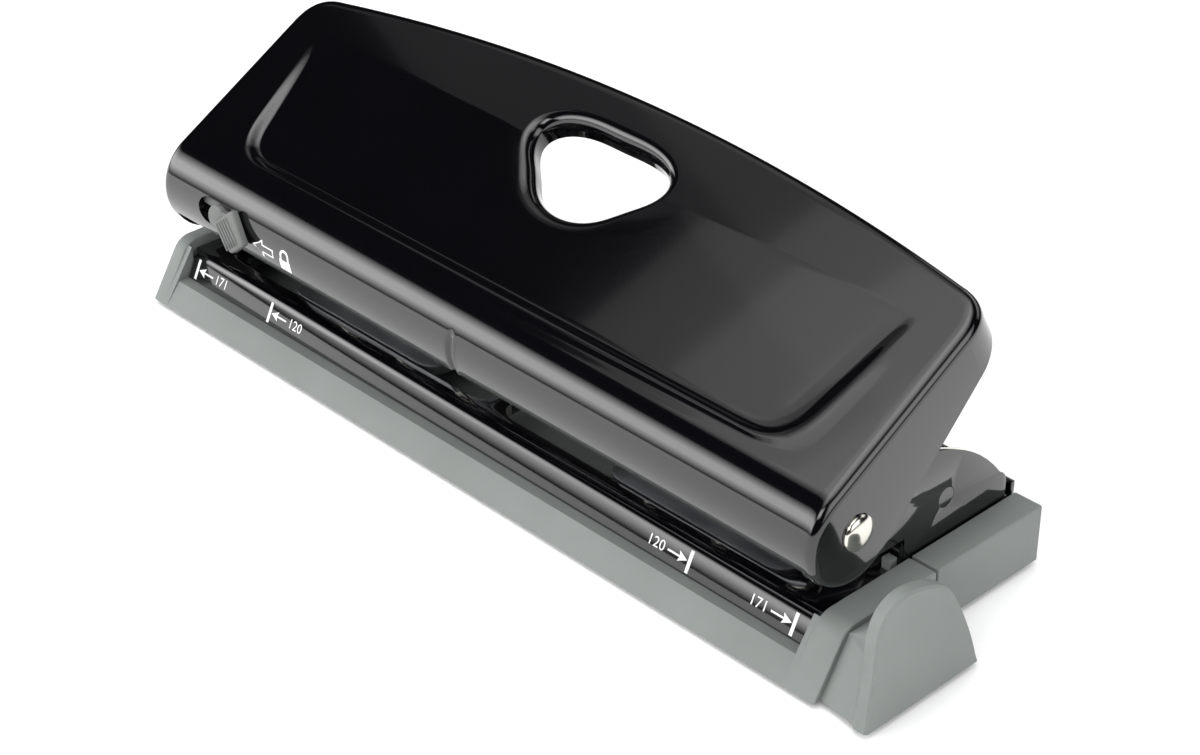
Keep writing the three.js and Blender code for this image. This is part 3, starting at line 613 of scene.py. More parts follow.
# The pressed tuck in the middle of the nose's lower part
DART_PLACE, DART_WIDTH, DART_DEPTH = 0.6, 0.62, 0.75
DART_SIDE_SHARE, DART_RIDGE_SHARE = 0.8, 0.15
# Angles round the nose between which the tuck starts, and deepens from its first share to all of it
DART_START, DART_GROWTH, DART_FIRST_SHARE = (2.2, 2.5), (2.4, 3.1), 0.7
# Points along the nose: even ones, and finer ones within a distance of the tuck
NOSE_COUNT, DART_NEAR, DART_COUNT, DART_GAP = 160, 5, 60, 0.3


class Skin:
    """Points and faces of the handle's outer skin, gathered strip by strip."""

    def __init__(self):
        self.verts, self.faces = [], []

    def add(self, points, faces):
        start = len(self.verts)
        self.verts.extend(points)
        self.faces.extend(tuple(start + i for i in face) for face in faces)

    def add_rows(self, rows, closed=False):
        self.add([p for row in rows for p in row], grid_faces(len(rows), len(rows[0]), closed))


def handle_mesh(shape):
    """Points and faces of the handle's outer skin, in the handle's frame."""
    edge = shape.rear_line(0.0)
    front = front_line(shape)
    side = inset_line(edge, shape.fold)
    side[0], side[-1] = (shape.half - shape.fold, 0.0), (-(shape.half - shape.fold), 0.0)
    skin = Skin()
    skin.add_rows(top_plate(shape, front[:-1] + side[:-1]), closed=True)
    nose_turns = shape.end_turns()[: shape.nose_steps + 1]
    skin.add_rows([[nose_point(shape, x, turn) for x, y in front] for turn in nose_turns])
    skin.add_rows(folded_rows(shape, edge, side))
    for hand in (1, -1):
        add_end(skin, shape, edge, hand)
    skin.add_rows(rear_wall_rows(shape, edge))
    return skin.verts, skin.faces


def front_line(shape):
    """The line where the top plate meets the nose, with finer steps near the tuck."""
    reach = shape.half - shape.fold
    coarse = [reach * (2 * i / NOSE_COUNT - 1) for i in range(NOSE_COUNT + 1)]
    fine = [DART_PLACE - DART_NEAR + 2 * DART_NEAR * i / DART_COUNT for i in range(DART_COUNT + 1)]
    places = [x for x in coarse if abs(x - DART_PLACE) > DART_NEAR + DART_GAP] + fine
    return [(x, 0.0) for x in sorted(places)]


def folded_rows(shape, edge, side):
    """The folded edge along the sides and the rear."""
    rows = []
    for i in range(shape.fold_steps + 1):
        turn = i / shape.fold_steps * math.pi / 2
        line = inset_line(edge, shape.fold * (1 - math.sin(turn)))
        line[0], line[-1] = (abs(line[0][0]), 0.0), (-abs(line[-1][0]), 0.0)
        if i == 0:
            line = side
        rows.append([(x, y, shape.radius - shape.fold * (1 - math.cos(turn))) for x, y in line])
    return rows


def end_line(shape, x, radius, first=0):
    """A line round the nose's end at a radius, from one of its steps on, and along the disc's tail."""
    line = [(x, radius * math.cos(turn), radius * math.sin(turn)) for turn in shape.end_turns()[first:]]
    steps = shape.tail_steps
    return line + [(x, shape.disc_tail * k / steps, -radius) for k in range(1, steps + 1)]


def add_end(skin, shape, edge, hand):
    """One end of the handle: its fold along the nose, the strip inside the throat and the flat flange."""
    radius, fold = shape.radius, shape.fold
    rows = []
    for i in range(shape.fold_steps + 1):
        turn = i / shape.fold_steps * math.pi / 2
        x = hand * (shape.half - fold * (1 - math.sin(turn)))
        rows.append(end_line(shape, x, radius - fold * (1 - math.cos(turn))))
    skin.add_rows(rows)
    strip = (hand * (shape.half - fold), hand * shape.throat_half)
    skin.add_rows([end_line(shape, x, radius, shape.nose_steps) for x in strip])
    outline = [(y, z) for x, y, z in rows[-1]] + flange_tail(shape)
    side = [y for x, y in edge[1 : shape.side_steps + 1]]
    outline += [(y, radius - fold) for y in reversed(side)]
    skin.add([(hand * shape.half, y, z) for y, z in outline], [tuple(range(len(outline)))])


def rear_wall_rows(shape, edge):
    """The wall from corner to corner, down from the folded edge."""
    steps, radius, fold = shape.wall_steps, shape.radius, shape.fold
    rows = []
    for i in range(steps + 1):
        row = []
        for x, y in edge[shape.side_steps : len(edge) - shape.side_steps]:
            row.append((x, y, (radius - fold) + (wall_bottom(shape, y) - radius + fold) * i / steps))
        rows.append(row)
    return rows


def nose_point(shape, x, turn):
    """A point of the nose, with the pressed tuck in the middle of its lower part."""
    growth = DART_FIRST_SHARE + (1 - DART_FIRST_SHARE) * smooth_step(*DART_GROWTH, turn)
    share = smooth_step(*DART_START, turn) * growth
    away = x - DART_PLACE
    groove = math.exp(-(((away + DART_WIDTH * DART_SIDE_SHARE) / DART_WIDTH) ** 2))
    ridge = math.exp(-(((away - DART_WIDTH * DART_SIDE_SHARE) / DART_WIDTH) ** 2))
    r = shape.radius - DART_DEPTH * share * (groove - DART_RIDGE_SHARE * ridge)
    return (x, r * math.cos(turn), r * math.sin(turn))


def flange_tail(shape):
    """Lower edge of a flange from the disc to the rear corner, as places in Y and Z."""
    corner = shape.length - shape.arch - shape.rear_corner
    disc_end = (7.4, -shape.radius + 2.0)
    slope_end, bend = (13.5, -6.1), (20, -4.4)
    return [disc_end, slope_end] + quadratic(slope_end, bend, (corner, wall_bottom(shape, corner)), 8)


def wall_bottom(shape, y):
    """Level of the lower edge of the wall behind the flanges."""
    corner = shape.length - shape.arch - shape.rear_corner
    low, high = shape.flange_level, shape.radius - shape.rim_depth
    return low + (high - low) * smooth_step(corner - shape.rise_before, corner + shape.rise_after, y)


def inset_line(line, inset):
    """A line moved to its left by the inset, square to itself."""
    moved = []
    for i, (x, y) in enumerate(line):
        x0, y0 = line[max(i - 1, 0)]
        x1, y1 = line[min(i + 1, len(line) - 1)]
        dx, dy = x1 - x0, y1 - y0
        size = math.hypot(dx, dy)
        moved.append((x - dy / size * inset, y + dx / size * inset))
    return moved


# How far the lock's own face is turned down from the handle's front
LOCK_TURN = math.radians(41.5)
# The lock's slot: its ends along X, its middle and half its height, and how far out its cut starts and ends
LOCK_SLOT = (-78.2, -65.3)
LOCK_SLOT_MIDDLE, LOCK_SLOT_HALF = -1.4, 2.9
LOCK_SLOT_REACH = (7.0, 14.0)
# The button's face, as places along X and up, how far out it lies, and its thickness
LOCK_FACE = ((-70.6, -2.0), (-65.0, 2.6), (-60.2, -3.3), (-64.0, -6.5))
LOCK_FACE_REACH, LOCK_THICKNESS = 13.1, 1.9


def lock_place(x, up, out):
    """A point of the lock's own face, in millimetres, brought to the part's frame in metres."""
    turned = Matrix.Rotation(-LOCK_TURN, 3, "X") @ Vector((x, -out, up))
    return handle_place(turned)


def prism_mesh(outline, low, high):
    """Points and faces of a prism on the lock's own face, between two distances out."""
    points = [lock_place(x, up, out) for out in (low, high) for x, up in outline]
    count = len(outline)
    faces = [tuple(range(count)), tuple(range(2 * count - 1, count - 1, -1))]
    faces += [(i, i + count, (i + 1) % count + count, (i + 1) % count) for i in range(count)]
    return points, faces


def lock_slot_cutter():
    left, right = LOCK_SLOT
    half, rise = LOCK_SLOT_HALF, LOCK_SLOT_MIDDLE
    steps = 12
    outline = []
    for middle, start in ((right - half, -90), (left + half, 90)):
        for i in range(steps + 1):
            turn = math.radians(start + 180 * i / steps)
            outline.append((middle + half * math.cos(turn), rise + half * math.sin(turn)))
    return prism_mesh(outline, *LOCK_SLOT_REACH)


def carve(made, solid, operation):
    """Takes a solid, given as points and faces, out of a piece, or joins it on."""
    mesh = bpy.data.meshes.new("tool")
    mesh.from_pydata([tuple(v) for v in solid[0]], [], solid[1])
    tidy_faces(mesh)
    tool = bpy.data.objects.new("tool", mesh)
    bpy.context.scene.collection.objects.link(tool)
    change = made.modifiers.new("carve", "BOOLEAN")
    change.operation, change.solver, change.object = operation, "EXACT", tool
    apply_modifiers(made)
    bpy.data.objects.remove(tool)


class PUNCH_OT_handle(bpy.types.Operator):
    """Presses the handle: rolled nose, sunk panel, rolled finger hole, folded flanges"""

    bl_idname = "punch.handle"
    bl_label = "Make the handle"

    def execute(self, context):
        chosen = settings()[0]
        verts, faces = handle_mesh(HandleShape(chosen))
        mesh = bpy.data.meshes.new("pressed_handle")
        mesh.from_pydata([handle_place(p) for p in verts], [], faces)
        tidy_faces(mesh)
        made = bpy.data.objects.new("pressed_handle", mesh)
        context.scene.collection.objects.link(made)
        wall = made.modifiers.new("sheet", "SOLIDIFY")
        wall.thickness = chosen.sheet
        wall.offset = -1
        wall.use_even_offset = True
        apply_modifiers(made)
        carve(made, lock_slot_cutter(), "DIFFERENCE")
        made.data.materials.clear()
        made.data.materials.append(finish_of("enamel"))
        shade(made.data, HANDLE_SHARP)
        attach(made, "handle")
        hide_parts("handle_shell")
        return {"FINISHED"}


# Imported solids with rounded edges: node, finish, slot, the rounding's width in millimetres and its segments
SOFT_FRAME = ("chassis", "enamel", "black_steel", 0.14, 2)
SOFT_BASE = ("rear_base", "plastic", "grey_plastic", 0.5, 3)
SOFT_TRAY = ("chip_tray", "plastic", "grey_plastic", 0.5, 3)
SOFT_BAR = ("press_bar", "zinc", "zinc_steel", 0.2, 2)
# The same for the pieces that each punch unit has, named without their side
SOFT_UNIT = (
    ("punch_frame_", "zinc", "zinc_steel", 0.15, 2),
    ("die_plate_", "zinc", "zinc_steel", 0.12, 2),
    ("slide_block_", "dark_plastic", "dark_plastic", 0.35, 2),
)
SIDES = ("left", "right")
BODY_OF = {node: body for body, nodes in frame["record"]["behaviour"]["bodies"].items() for node in nodes}

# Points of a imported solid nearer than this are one, and flatter edges than this go, before it is rounded
MERGE, FLAT = 0.003 * MM, math.radians(0.4)


def softened(node, finish, slot, width, segments, reshape=None):
    """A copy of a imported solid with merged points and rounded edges, which takes the solid's place."""
    work = bmesh.new()
    work.from_mesh(frame["nodes"][node].data)
    bmesh.ops.remove_doubles(work, verts=work.verts, dist=MERGE)
    bmesh.ops.dissolve_limit(work, angle_limit=FLAT, verts=work.verts, edges=work.edges)
    mesh = bpy.data.meshes.new("soft_" + node)
    work.to_mesh(mesh)
    work.free()
    made = bpy.data.objects.new("soft_" + node, mesh)
    bpy.context.scene.collection.objects.link(made)
    if reshape:
        reshape(made)
    rounding = made.modifiers.new("edges", "BEVEL")
    rounding.width, rounding.segments = width * MM, segments
    rounding.limit_method, rounding.angle_limit = "ANGLE", math.radians(SOLID_CORNER)
    # This narrows a whole piece's rounding to fit its shortest edges, down to almost none on some pieces
    rounding.use_clamp_overlap = True
    apply_modifiers(made)
    made.data.materials.clear()
    made.data.materials.append(finish_of(finish))
    shade(made.data, SOLID_SHARP)
    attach(made, BODY_OF[node])
    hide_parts(node)
    return made


# The fin's rim, as shares of its depth and height, from its front foot over the top to its rear foot
FIN_OUTLINE_SHARES = (
    (0, 0), (0.018, 0.2), (0.035, 0.38), (0.045, 0.56), (0.05, 0.72), (0.085, 0.87),
    (0.16, 0.963), (0.265, 1), (0.37, 0.988), (0.475, 0.953), (0.585, 0.896),
    (0.675, 0.81), (0.75, 0.68), (0.835, 0.49), (0.925, 0.25), (1, 0),
)
FIN_DEPTH, FIN_HEIGHT, FIN_RIM, FIN_EDGE = 29.35, 24.8, 2.6, 0.45
# Places along X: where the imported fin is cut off, where the smooth one starts, and its outer face
FIN_ROOT, FIN_FOOT, FIN_REACH = 88.9, 88.45, 100.4
FIN_STEPS = 14
# The rim's feet start this much above the tray's floor
FIN_SINK = 0.3
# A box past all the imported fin's sides, as its low and high corners
FIN_CUT = ((FIN_ROOT, -40, -10), (110, 10, 40))
BLOCK_SETBACK, BLOCK_HEIGHT, WALL = 7.6, 12.2, 1.5
TRAY_FRONT, TRAY_FLOOR = -30.1, 1.0


def smooth_line(points, steps=5):
    """A curve through all the points, with some steps from each to the next."""
    made = []
    last = len(points) - 1
    for i in range(last):
        a, b, c, d = (Vector(points[k]) for k in (max(i - 1, 0), i, i + 1, min(i + 2, last)))
        for k in range(steps):
            t = k / steps
            made.append(
                b + 0.5 * t * ((c - a) + t * ((2 * a - 5 * b + 4 * c - d) + t * (3 * (b - c) + d - a)))
            )
    return made + [Vector(points[-1])]


def fin_ring(line, x, spread, inset=0.0):
    """One cross outline of the fin: the block's own at spread 0, the rim's at spread 1."""
    ring = []
    for y_share, z_share in line:
        y = inset + y_share * (FIN_DEPTH - 2 * inset)
        z = max(z_share * (FIN_HEIGHT - inset), FIN_SINK)
        low = min(z, BLOCK_HEIGHT - WALL)
        block_y = max(y, low * BLOCK_SETBACK / BLOCK_HEIGHT + WALL)
        y, z = block_y + (y - block_y) * spread, low + (z - low) * spread
        ring.append(Vector((x, TRAY_FRONT + y, TRAY_FLOOR + z)) * MM)
    return ring


def smooth_fin(made):
    """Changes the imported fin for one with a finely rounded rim."""
    places = zip(*FIN_CUT)
    corners = [Vector(corner) * MM for corner in itertools.product(*places)]
    sides = [(0, 1, 3, 2), (4, 6, 7, 5), (0, 4, 5, 1), (2, 3, 7, 6), (0, 2, 6, 4), (1, 5, 7, 3)]
    carve(made, (corners, sides), "DIFFERENCE")
    line = [(p.x, min(p.y, 1.0)) for p in smooth_line(FIN_OUTLINE_SHARES)]
    inner = FIN_REACH - FIN_RIM
    rings = []
    for i in range(FIN_STEPS + 1):
        angle = i / FIN_STEPS * math.pi / 2
        x = inner - (inner - FIN_FOOT) * math.cos(angle)
        rings.append(fin_ring(line, x, 1 - math.cos(math.asin(i / FIN_STEPS))))
    rings += [fin_ring(line, FIN_REACH - FIN_EDGE, 1), fin_ring(line, FIN_REACH, 1, FIN_EDGE)]
    columns = len(line)
    faces = grid_faces(len(rings), columns, closed=True)
    faces += [tuple(range(columns)), tuple(range((len(rings) - 1) * columns, len(rings) * columns))]
    carve(made, ([p for ring in rings for p in ring], faces), "UNION")


# Both ends of each slot in the frame's floor along X, and the box round their rounded edges, which are given
# bright nickel as a painted highlight
SLOTS = ((-23.3, -10.6), (-1.8, 23.3))
SLOT_MARGIN, SLOT_Y, SLOT_Z = 2.5, (-18, 7), (7, 12)
# The ears' bare edges lie farther from the middle and higher than this
EAR_OUT, EAR_LEVEL = 88.2, 17


def near_slot(place):
    x, y, z = place
    inside = SLOT_Y[0] < y < SLOT_Y[1] and SLOT_Z[0] < z < SLOT_Z[1]
    return inside and any(left - SLOT_MARGIN < x < right + SLOT_MARGIN for left, right in SLOTS)


class PUNCH_OT_frame(bpy.types.Operator):
    """Enamels the pressed frame, gives the slots' rounded edges bright nickel as a painted highlight, and
    leaves the ears' cut edges bright
    """

    bl_idname = "punch.frame"
    bl_label = "Make the frame"

    def execute(self, context):
        made = softened(*SOFT_FRAME)
        made.data.materials.append(finish_of("nickel"))
        for face in made.data.polygons:
            place, way = face.center / MM, face.normal
            on_ear = abs(place.x - TRAY_MIDDLE) > EAR_OUT and place.z > EAR_LEVEL
            # Painted highlight: the slots' edge walls get bright nickel; the ears' cut edges are bare metal
            slot_highlight = near_slot(place) and abs(way.z) < 0.8
            ear_edge = on_ear and abs(way.x) < 0.5 and way.z > 0.2
            if slot_highlight or ear_edge:
                face.material_index = 1
        return {"FINISHED"}


class PUNCH_OT_base(bpy.types.Operator):
    """Moulds the rear base and the chip tray with its smooth fin"""

    bl_idname = "punch.base"
    bl_label = "Make the base"

    def execute(self, context):
        softened(*SOFT_BASE)
        softened(*SOFT_TRAY, reshape=smooth_fin)
        return {"FINISHED"}


# Round pieces
def turned(profile, steps=40):
    """Points and faces of a round solid in millimetres, from pairs of radius and level."""
    points, faces, rows = [], [], []
    for radius, level in profile:
        if radius < 1e-6:
            rows.append([len(points)])
            points.append(Vector((0, 0, level)))
        else:
            rows.append(list(range(len(points), len(points) + steps)))
            for k in range(steps):
                turn = 2 * math.pi * k / steps
                points.append(Vector((radius * math.cos(turn), radius * math.sin(turn), level)))
    for low, high in zip(rows, rows[1:]):
        for k in range(steps):
            a, b = low[k % len(low)], low[(k + 1) % len(low)]
            c, d = high[(k + 1) % len(high)], high[k % len(high)]
            face = [i for n, i in enumerate((a, b, c, d)) if i not in (a, b, c, d)[:n]]
            if len(face) > 2:
                faces.append(tuple(face))
    return points, faces


def rounded(profile, radius, steps=4):
    """A profile with its corners rounded off."""
    made = [profile[0]]
    for before, here, after in zip(profile, profile[1:], profile[2:]):
        here = Vector(here)
        ends = []
        for other in (before, after):
            way = Vector(other) - here
            ends.append(here + way.normalized() * min(radius, way.length * 0.45))
        made.append(tuple(ends[0]))
        made += quadratic(ends[0], here, ends[1], steps)
    return made + [profile[-1]]


def dome(radius, foot, height, steps=9):
    """Profile of a dome from its rim to its top."""
    turns = [math.pi / 2 * i / steps for i in range(1, steps)]
    return [(radius * math.cos(t), foot + height * math.sin(t)) for t in turns] + [(0.0, foot + height)]


def bar_profile(radius, low, high):
    """Profile of a plain round bar between two levels."""
    return [(0, low), (radius, low), (radius, high), (0, high)]


def round_piece(name, profile, place, finish, node, along="Z", steps=40, sharp=TURNED_SHARP):
    """A turned piece at a place in millimetres, along an axis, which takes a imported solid's place."""
    points, faces = turned(profile, steps)
    turn = {"Z": Matrix.Identity(3), "X": Matrix.Rotation(math.pi / 2, 3, "Y")}[along]
    points = [(turn @ p + Vector(place)) * MM for p in points]
    made = new_object(name, points, faces, finish_of(finish), BODY_OF[node], sharp, recalc=True)
    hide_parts(node)
    return made


# Feet: where they stand, and their profile with a hollow below
FEET_X, FEET_Y = {"left": -87.1, "right": 72.9}, {"front": -23.7, "rear": 23.7}
FOOT_PROFILE = ((0, 0.35), (2.4, 0.35), (2.8, 0), (4.1, 0), (4.45, 0.5), (4.45, 1.48), (0, 1.48))
# Wires of the tray's hinge: both ends along X, their level and radius
HINGE_PINS = {"tray_hinge_pin_left": (-75.2, -59.0), "tray_hinge_pin_right": (44.8, 61.0)}
HINGE_PLACE, HINGE_RADIUS = (0, 0.95, 3.4), 0.8
# Pivot rivets: radius and distance from the punch's middle, from the inner head to the flange, and the dome
RIVETS = {"pivot_rivet_right": 1, "pivot_rivet_left": -1}
RIVET_FLANGE = 91.3
RIVET_INNER = ((0, 87.4), (2.5, 87.4), (2.6, 88.25), (1.55, 88.3))
RIVET_PROFILE = RIVET_INNER + ((1.55, RIVET_FLANGE), (3.45, RIVET_FLANGE))
RIVET_DOME, RIVET_STEP, RIVET_HEIGHT = 3.5, 0.12, 1.38
# Guide rod: place, radius and both ends along X, and how far out its enamelled ends start
ROD_PLACE, ROD_RADIUS, ROD_ENDS, ROD_ENAMEL = (0, 10.1, 21.0), 1.98, (-96.58, 82.38), 89
# Punches: places along X, place along Y, and the profiles of the hollow-ground punch and of its cap
PIN_PLACES = (-65.85, -46.85, -27.85, 27.9, 46.9, 65.9)
PIN_DEPTH = -5.7
PIN_EDGE = [(0, 15.3), (1.2, 15.0), (2.1, 14.36), (2.42, 14.3), (2.5, 14.5)]
PIN_STEM = [(2.5, 30.0), (2.2, 30.3), (2.2, 31.0), (2.5, 31.3), (2.5, 36.57), (0, 36.57)]
CAP_SEAT = [(0, 36.6), (2.55, 36.6)]
CAP_SKIRT = [(2.55, 36.6), (2.55, 34.4), (3.6, 34.4), (3.6, 37.4)]
CAP_RADIUS, CAP_BRIM, CAP_HEIGHT = 3.6, 37.4, 1.64


class PUNCH_OT_fittings(bpy.types.Operator):
    """Turns the pivot rivets, the guide rod, the tray's hinge pins and the rubber feet"""

    bl_idname = "punch.fittings"
    bl_label = "Make the fittings"

    def execute(self, context):
        for row, y in FEET_Y.items():
            for side, x in FEET_X.items():
                node = "foot_%s_%s" % (row, side)
                profile = rounded(FOOT_PROFILE, 0.25)
                round_piece(node + "_pad", profile, (x, y, 0), "rubber", node, steps=56)
        for node, (start, end) in HINGE_PINS.items():
            profile = rounded(bar_profile(HINGE_RADIUS, start, end), 0.2)
            round_piece(node + "_wire", profile, HINGE_PLACE, "zinc", node, along="X")
        head = RIVET_FLANGE + RIVET_STEP
        for node, side in RIVETS.items():
            half = rounded(RIVET_PROFILE, 0.2) + [(RIVET_DOME, head)]
            half += dome(RIVET_DOME, head, RIVET_HEIGHT, 12)
            profile = [(r, side * level + TRAY_MIDDLE) for r, level in half]
            place = (0, PIVOT.y, PIVOT.z)
            round_piece(node + "_head", profile, place, "nickel", node, "X", 64, RIVET_SHARP)
        profile = bar_profile(ROD_RADIUS, *ROD_ENDS)
        node = "guide_rod"
        rod = round_piece(node + "_bar", profile, ROD_PLACE, "nickel", node, along="X")
        rod.data.materials.append(finish_of("enamel"))
        for face in rod.data.polygons:
            if abs(face.center.x / MM - TRAY_MIDDLE) > ROD_ENAMEL:
                face.material_index = 1
        return {"FINISHED"}


class PUNCH_OT_units(bpy.types.Operator):
    """Makes the two sliding punch units with their frames, die plates, blocks, punches and caps"""

    bl_idname = "punch.units"
    bl_label = "Make the punch units"

    def execute(self, context):
        softened(*SOFT_BAR)
        for start, *look in SOFT_UNIT:
            for side in SIDES:
                softened(start + side, *look)
        for number, x in enumerate(PIN_PLACES, 1):
            place = (x, PIN_DEPTH, 0)
            node = "punch_pin_%d" % number
            profile = PIN_EDGE + rounded(PIN_STEM, 0.15)
            round_piece(node + "_steel", profile, place, "nickel", node, steps=48)
            node = "pin_cap_%d" % number
            profile = CAP_SEAT + rounded(CAP_SKIRT, 0.2)[1:] + dome(CAP_RADIUS, CAP_BRIM, CAP_HEIGHT)
            round_piece(node + "_top", profile, place, "dark_plastic", node, steps=48)
        for side in SIDES:
            for number in (1, 2):
                node = "post_%s_%d" % (side, number)
                low, high = (Vector(v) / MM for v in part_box(node))
                radius, middle = (high.x - low.x) / 2, (low + high) / 2
                profile = rounded(bar_profile(radius, low.z, high.z), 0.25)
                round_piece(node + "_steel", profile, (middle.x, middle.y, 0), "zinc", node)
        return {"FINISHED"}


# Geometry Nodes
class NodeTree:
    """A Geometry Nodes tree with named inputs."""

    def __init__(self, name, **inputs):
        self.group = bpy.data.node_groups.new(name, "GeometryNodeTree")
        self.group.interface.new_socket("Geometry", in_out="OUTPUT", socket_type="NodeSocketGeometry")
        self.keys = {}
        for label, kind in inputs.items():
            made = self.group.interface.new_socket(label, in_out="INPUT", socket_type="NodeSocket" + kind)
            self.keys[label] = made.identifier
        self.given = self.group.nodes.new("NodeGroupInput").outputs

    def make(self, kind, values, output=0, **set_first):
        """Makes a node and answers with one of its outputs."""
        return new_node(self.group, kind, set_first, values).outputs[output]

    def math(self, operation, a, b):
        return self.make("ShaderNodeMath", {0: a, 1: b}, operation=operation)

    def share_of(self, value, low, high):
        """How far a value is from low to high, kept between 0 and 1."""
        return self.make("ShaderNodeMapRange", {"Value": value, "From Min": low, "From Max": high})

    def finish(self, geometry):
        """Ends the tree with real meshes that carry their material."""
        real = self.make("GeometryNodeRealizeInstances", {0: geometry})
        painted = self.make("GeometryNodeSetMaterial", {"Geometry": real, "Material": self.given["Paint"]})
        out = self.group.nodes.new("NodeGroupOutput")
        self.group.links.new(painted, out.inputs[0])

    def grow(self, name, **values):
        """A plain mesh object that the tree makes from its inputs."""
        made = bpy.data.objects.new(name, bpy.data.meshes.new(name))
        bpy.context.scene.collection.objects.link(made)
        change = made.modifiers.new("nodes", "NODES")
        change.node_group = self.group
        for label, value in values.items():
            change[self.keys[label]] = value
        return apply_modifiers(made)


# Steps of one turn of a coil, sides of its wire, the share of its length in each closed end,
# and the height of the closed ends in wires, which the free rise leaves out
COIL_STEPS, WIRE_SIDES, END_SHARE, END_WIRES = 26, 10, 0.15, 3


def coil_tree():
    """Spring with closed end turns: a spiral whose rise is slow at both ends."""
    tree = NodeTree(
        "coil", Turns="Float", Radius="Float", Height="Float", Wire="Float",
        Place="Vector", Paint="Material",
    )
    given = tree.given
    wire = given["Wire"]
    sizes = {"Resolution": COIL_STEPS, "Height": 0, "Rotations": given["Turns"]}
    sizes.update({"Start Radius": given["Radius"], "End Radius": given["Radius"]})
    spiral = tree.make("GeometryNodeCurveSpiral", sizes, "Curve")
    along = tree.make("GeometryNodeSplineParameter", {}, "Factor")
    first, last = tree.share_of(along, 0, END_SHARE), tree.share_of(along, 1 - END_SHARE, 1)
    end_rise = tree.math("MULTIPLY", tree.math("ADD", first, last), wire)
    free = tree.math("SUBTRACT", given["Height"], tree.math("MULTIPLY", wire, END_WIRES))
    free_rise = tree.math("MULTIPLY", tree.share_of(along, END_SHARE, 1 - END_SHARE), free)
    half_wire = tree.math("MULTIPLY", wire, 0.5)
    level = tree.math("ADD", tree.math("ADD", end_rise, free_rise), half_wire)
    lift = tree.make("ShaderNodeCombineXYZ", {"Z": level})
    path = tree.make("GeometryNodeSetPosition", {"Geometry": spiral, "Offset": lift})
    sizes = {"Resolution": WIRE_SIDES, "Radius": half_wire}
    circle = tree.make("GeometryNodeCurvePrimitiveCircle", sizes, "Curve")
    curves = {"Curve": path, "Profile Curve": circle, "Fill Caps": True}
    sweep = tree.make("GeometryNodeCurveToMesh", curves)
    tree.finish(tree.make("GeometryNodeTransform", {"Geometry": sweep, "Translation": given["Place"]}))
    return tree


# Sides of a rib, rows along it, and rows over each of its round ends
RIB_SIDES, RIB_ROWS, RIB_END_ROWS = 20, 4, 10


def rib_row_tree():
    """A row of round-ended ribs, one after the other along a step."""
    tree = NodeTree(
        "rib_row", Count="Int", Start="Vector", Step="Vector", Turn="Rotation",
        Radius="Float", Length="Float", Paint="Material",
    )
    given = tree.given
    places = {"Count": given["Count"], "Start Location": given["Start"], "Offset": given["Step"]}
    line = tree.make("GeometryNodeMeshLine", places, "Mesh")
    radius, length = given["Radius"], given["Length"]
    sizes = {"Vertices": RIB_SIDES, "Side Segments": RIB_ROWS, "Radius": radius, "Depth": length}
    bar = tree.make("GeometryNodeMeshCylinder", sizes, "Mesh")
    sizes = {"Segments": RIB_SIDES, "Rings": RIB_END_ROWS, "Radius": radius}
    ball = tree.make("GeometryNodeMeshUVSphere", sizes, "Mesh")
    shapes = tree.make("GeometryNodeJoinGeometry", {0: bar})
    for way in (0.5, -0.5):
        place = tree.make("ShaderNodeCombineXYZ", {"Z": tree.math("MULTIPLY", length, way)})
        end = tree.make("GeometryNodeTransform", {"Geometry": ball, "Translation": place})
        tree.group.links.new(end, shapes.node.inputs[0])
    copies = {"Points": line, "Instance": shapes, "Rotation": given["Turn"]}
    tree.finish(tree.make("GeometryNodeInstanceOnPoints", copies))
    return tree


# Return springs: the levels of both ends, the radius of the wire's middle, and the share of the height kept
# when the punch is down
SPRING_LOW, SPRING_HIGH, SPRING_RADIUS, SPRING_KEEP = 23.52, 34.25, 3.1, 0.439


class PUNCH_OT_springs(bpy.types.Operator):
    """Winds the six return springs"""

    bl_idname = "punch.springs"
    bl_label = "Wind the springs"

    def execute(self, context):
        chosen = settings()[2]
        tree = coil_tree()
        sizes = {"Turns": float(chosen.curls), "Radius": SPRING_RADIUS * MM, "Wire": chosen.wire}
        sizes["Height"] = (SPRING_HIGH - SPRING_LOW) * MM
        foot = SPRING_LOW * MM
        for number, x in enumerate(PIN_PLACES, 1):
            node = "return_spring_%d" % number
            place = (x * MM, PIN_DEPTH * MM, foot)
            made = tree.grow("coil_%d" % number, Place=place, Paint=finish_of("spring"), **sizes)
            made.data.shade_smooth()
            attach(made, BODY_OF[node])
            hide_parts(node)
            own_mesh(made)
        return {"FINISHED"}


def prism(name, outline, low, high, rounding):
    """A rounded prism of the lock on the lock's own face, between two distances out."""
    points, faces = prism_mesh(outline, low, high)
    made = new_object(name, points, faces, finish_of("lock_plastic"), "lock", recalc=True)
    soft = made.modifiers.new("edges", "BEVEL")
    soft.width, soft.segments, soft.limit_method = rounding * MM, 4, "ANGLE"
    soft.angle_limit = math.radians(LOCK_CORNER)
    apply_modifiers(made)
    shade(made.data, LOCK_SHARP)
    return made


def box_outline(left, right, low, high):
    return [(left, low), (right, low), (right, high), (left, high)]


def disc_outline(middle, radius, steps=36):
    turns = [2 * math.pi * i / steps for i in range(steps)]
    return [(middle[0] + radius * math.cos(t), middle[1] + radius * math.sin(t)) for t in turns]


# The lock's pieces behind its button: name, outline, both distances out, width of the rounding
LOCK_PIECES = (
    ("lock_carriage", box_outline(-85.6, -62.2, -1.0, 1.15), 7.2, 9.5, 0.3),
    ("lock_plate", box_outline(-73.6, -63.4, -3.0, 1.2), 9.0, 9.5, 0.2),
    ("lock_neck", disc_outline((-71.2, -1.2), 2.45), 9.4, 12.0, 0.35),
    ("lock_stem", box_outline(-71.0, -66.4, -3.2, 0.5), 9.4, 11.9, 0.3),
)
LOCK_ROUNDING = 0.55
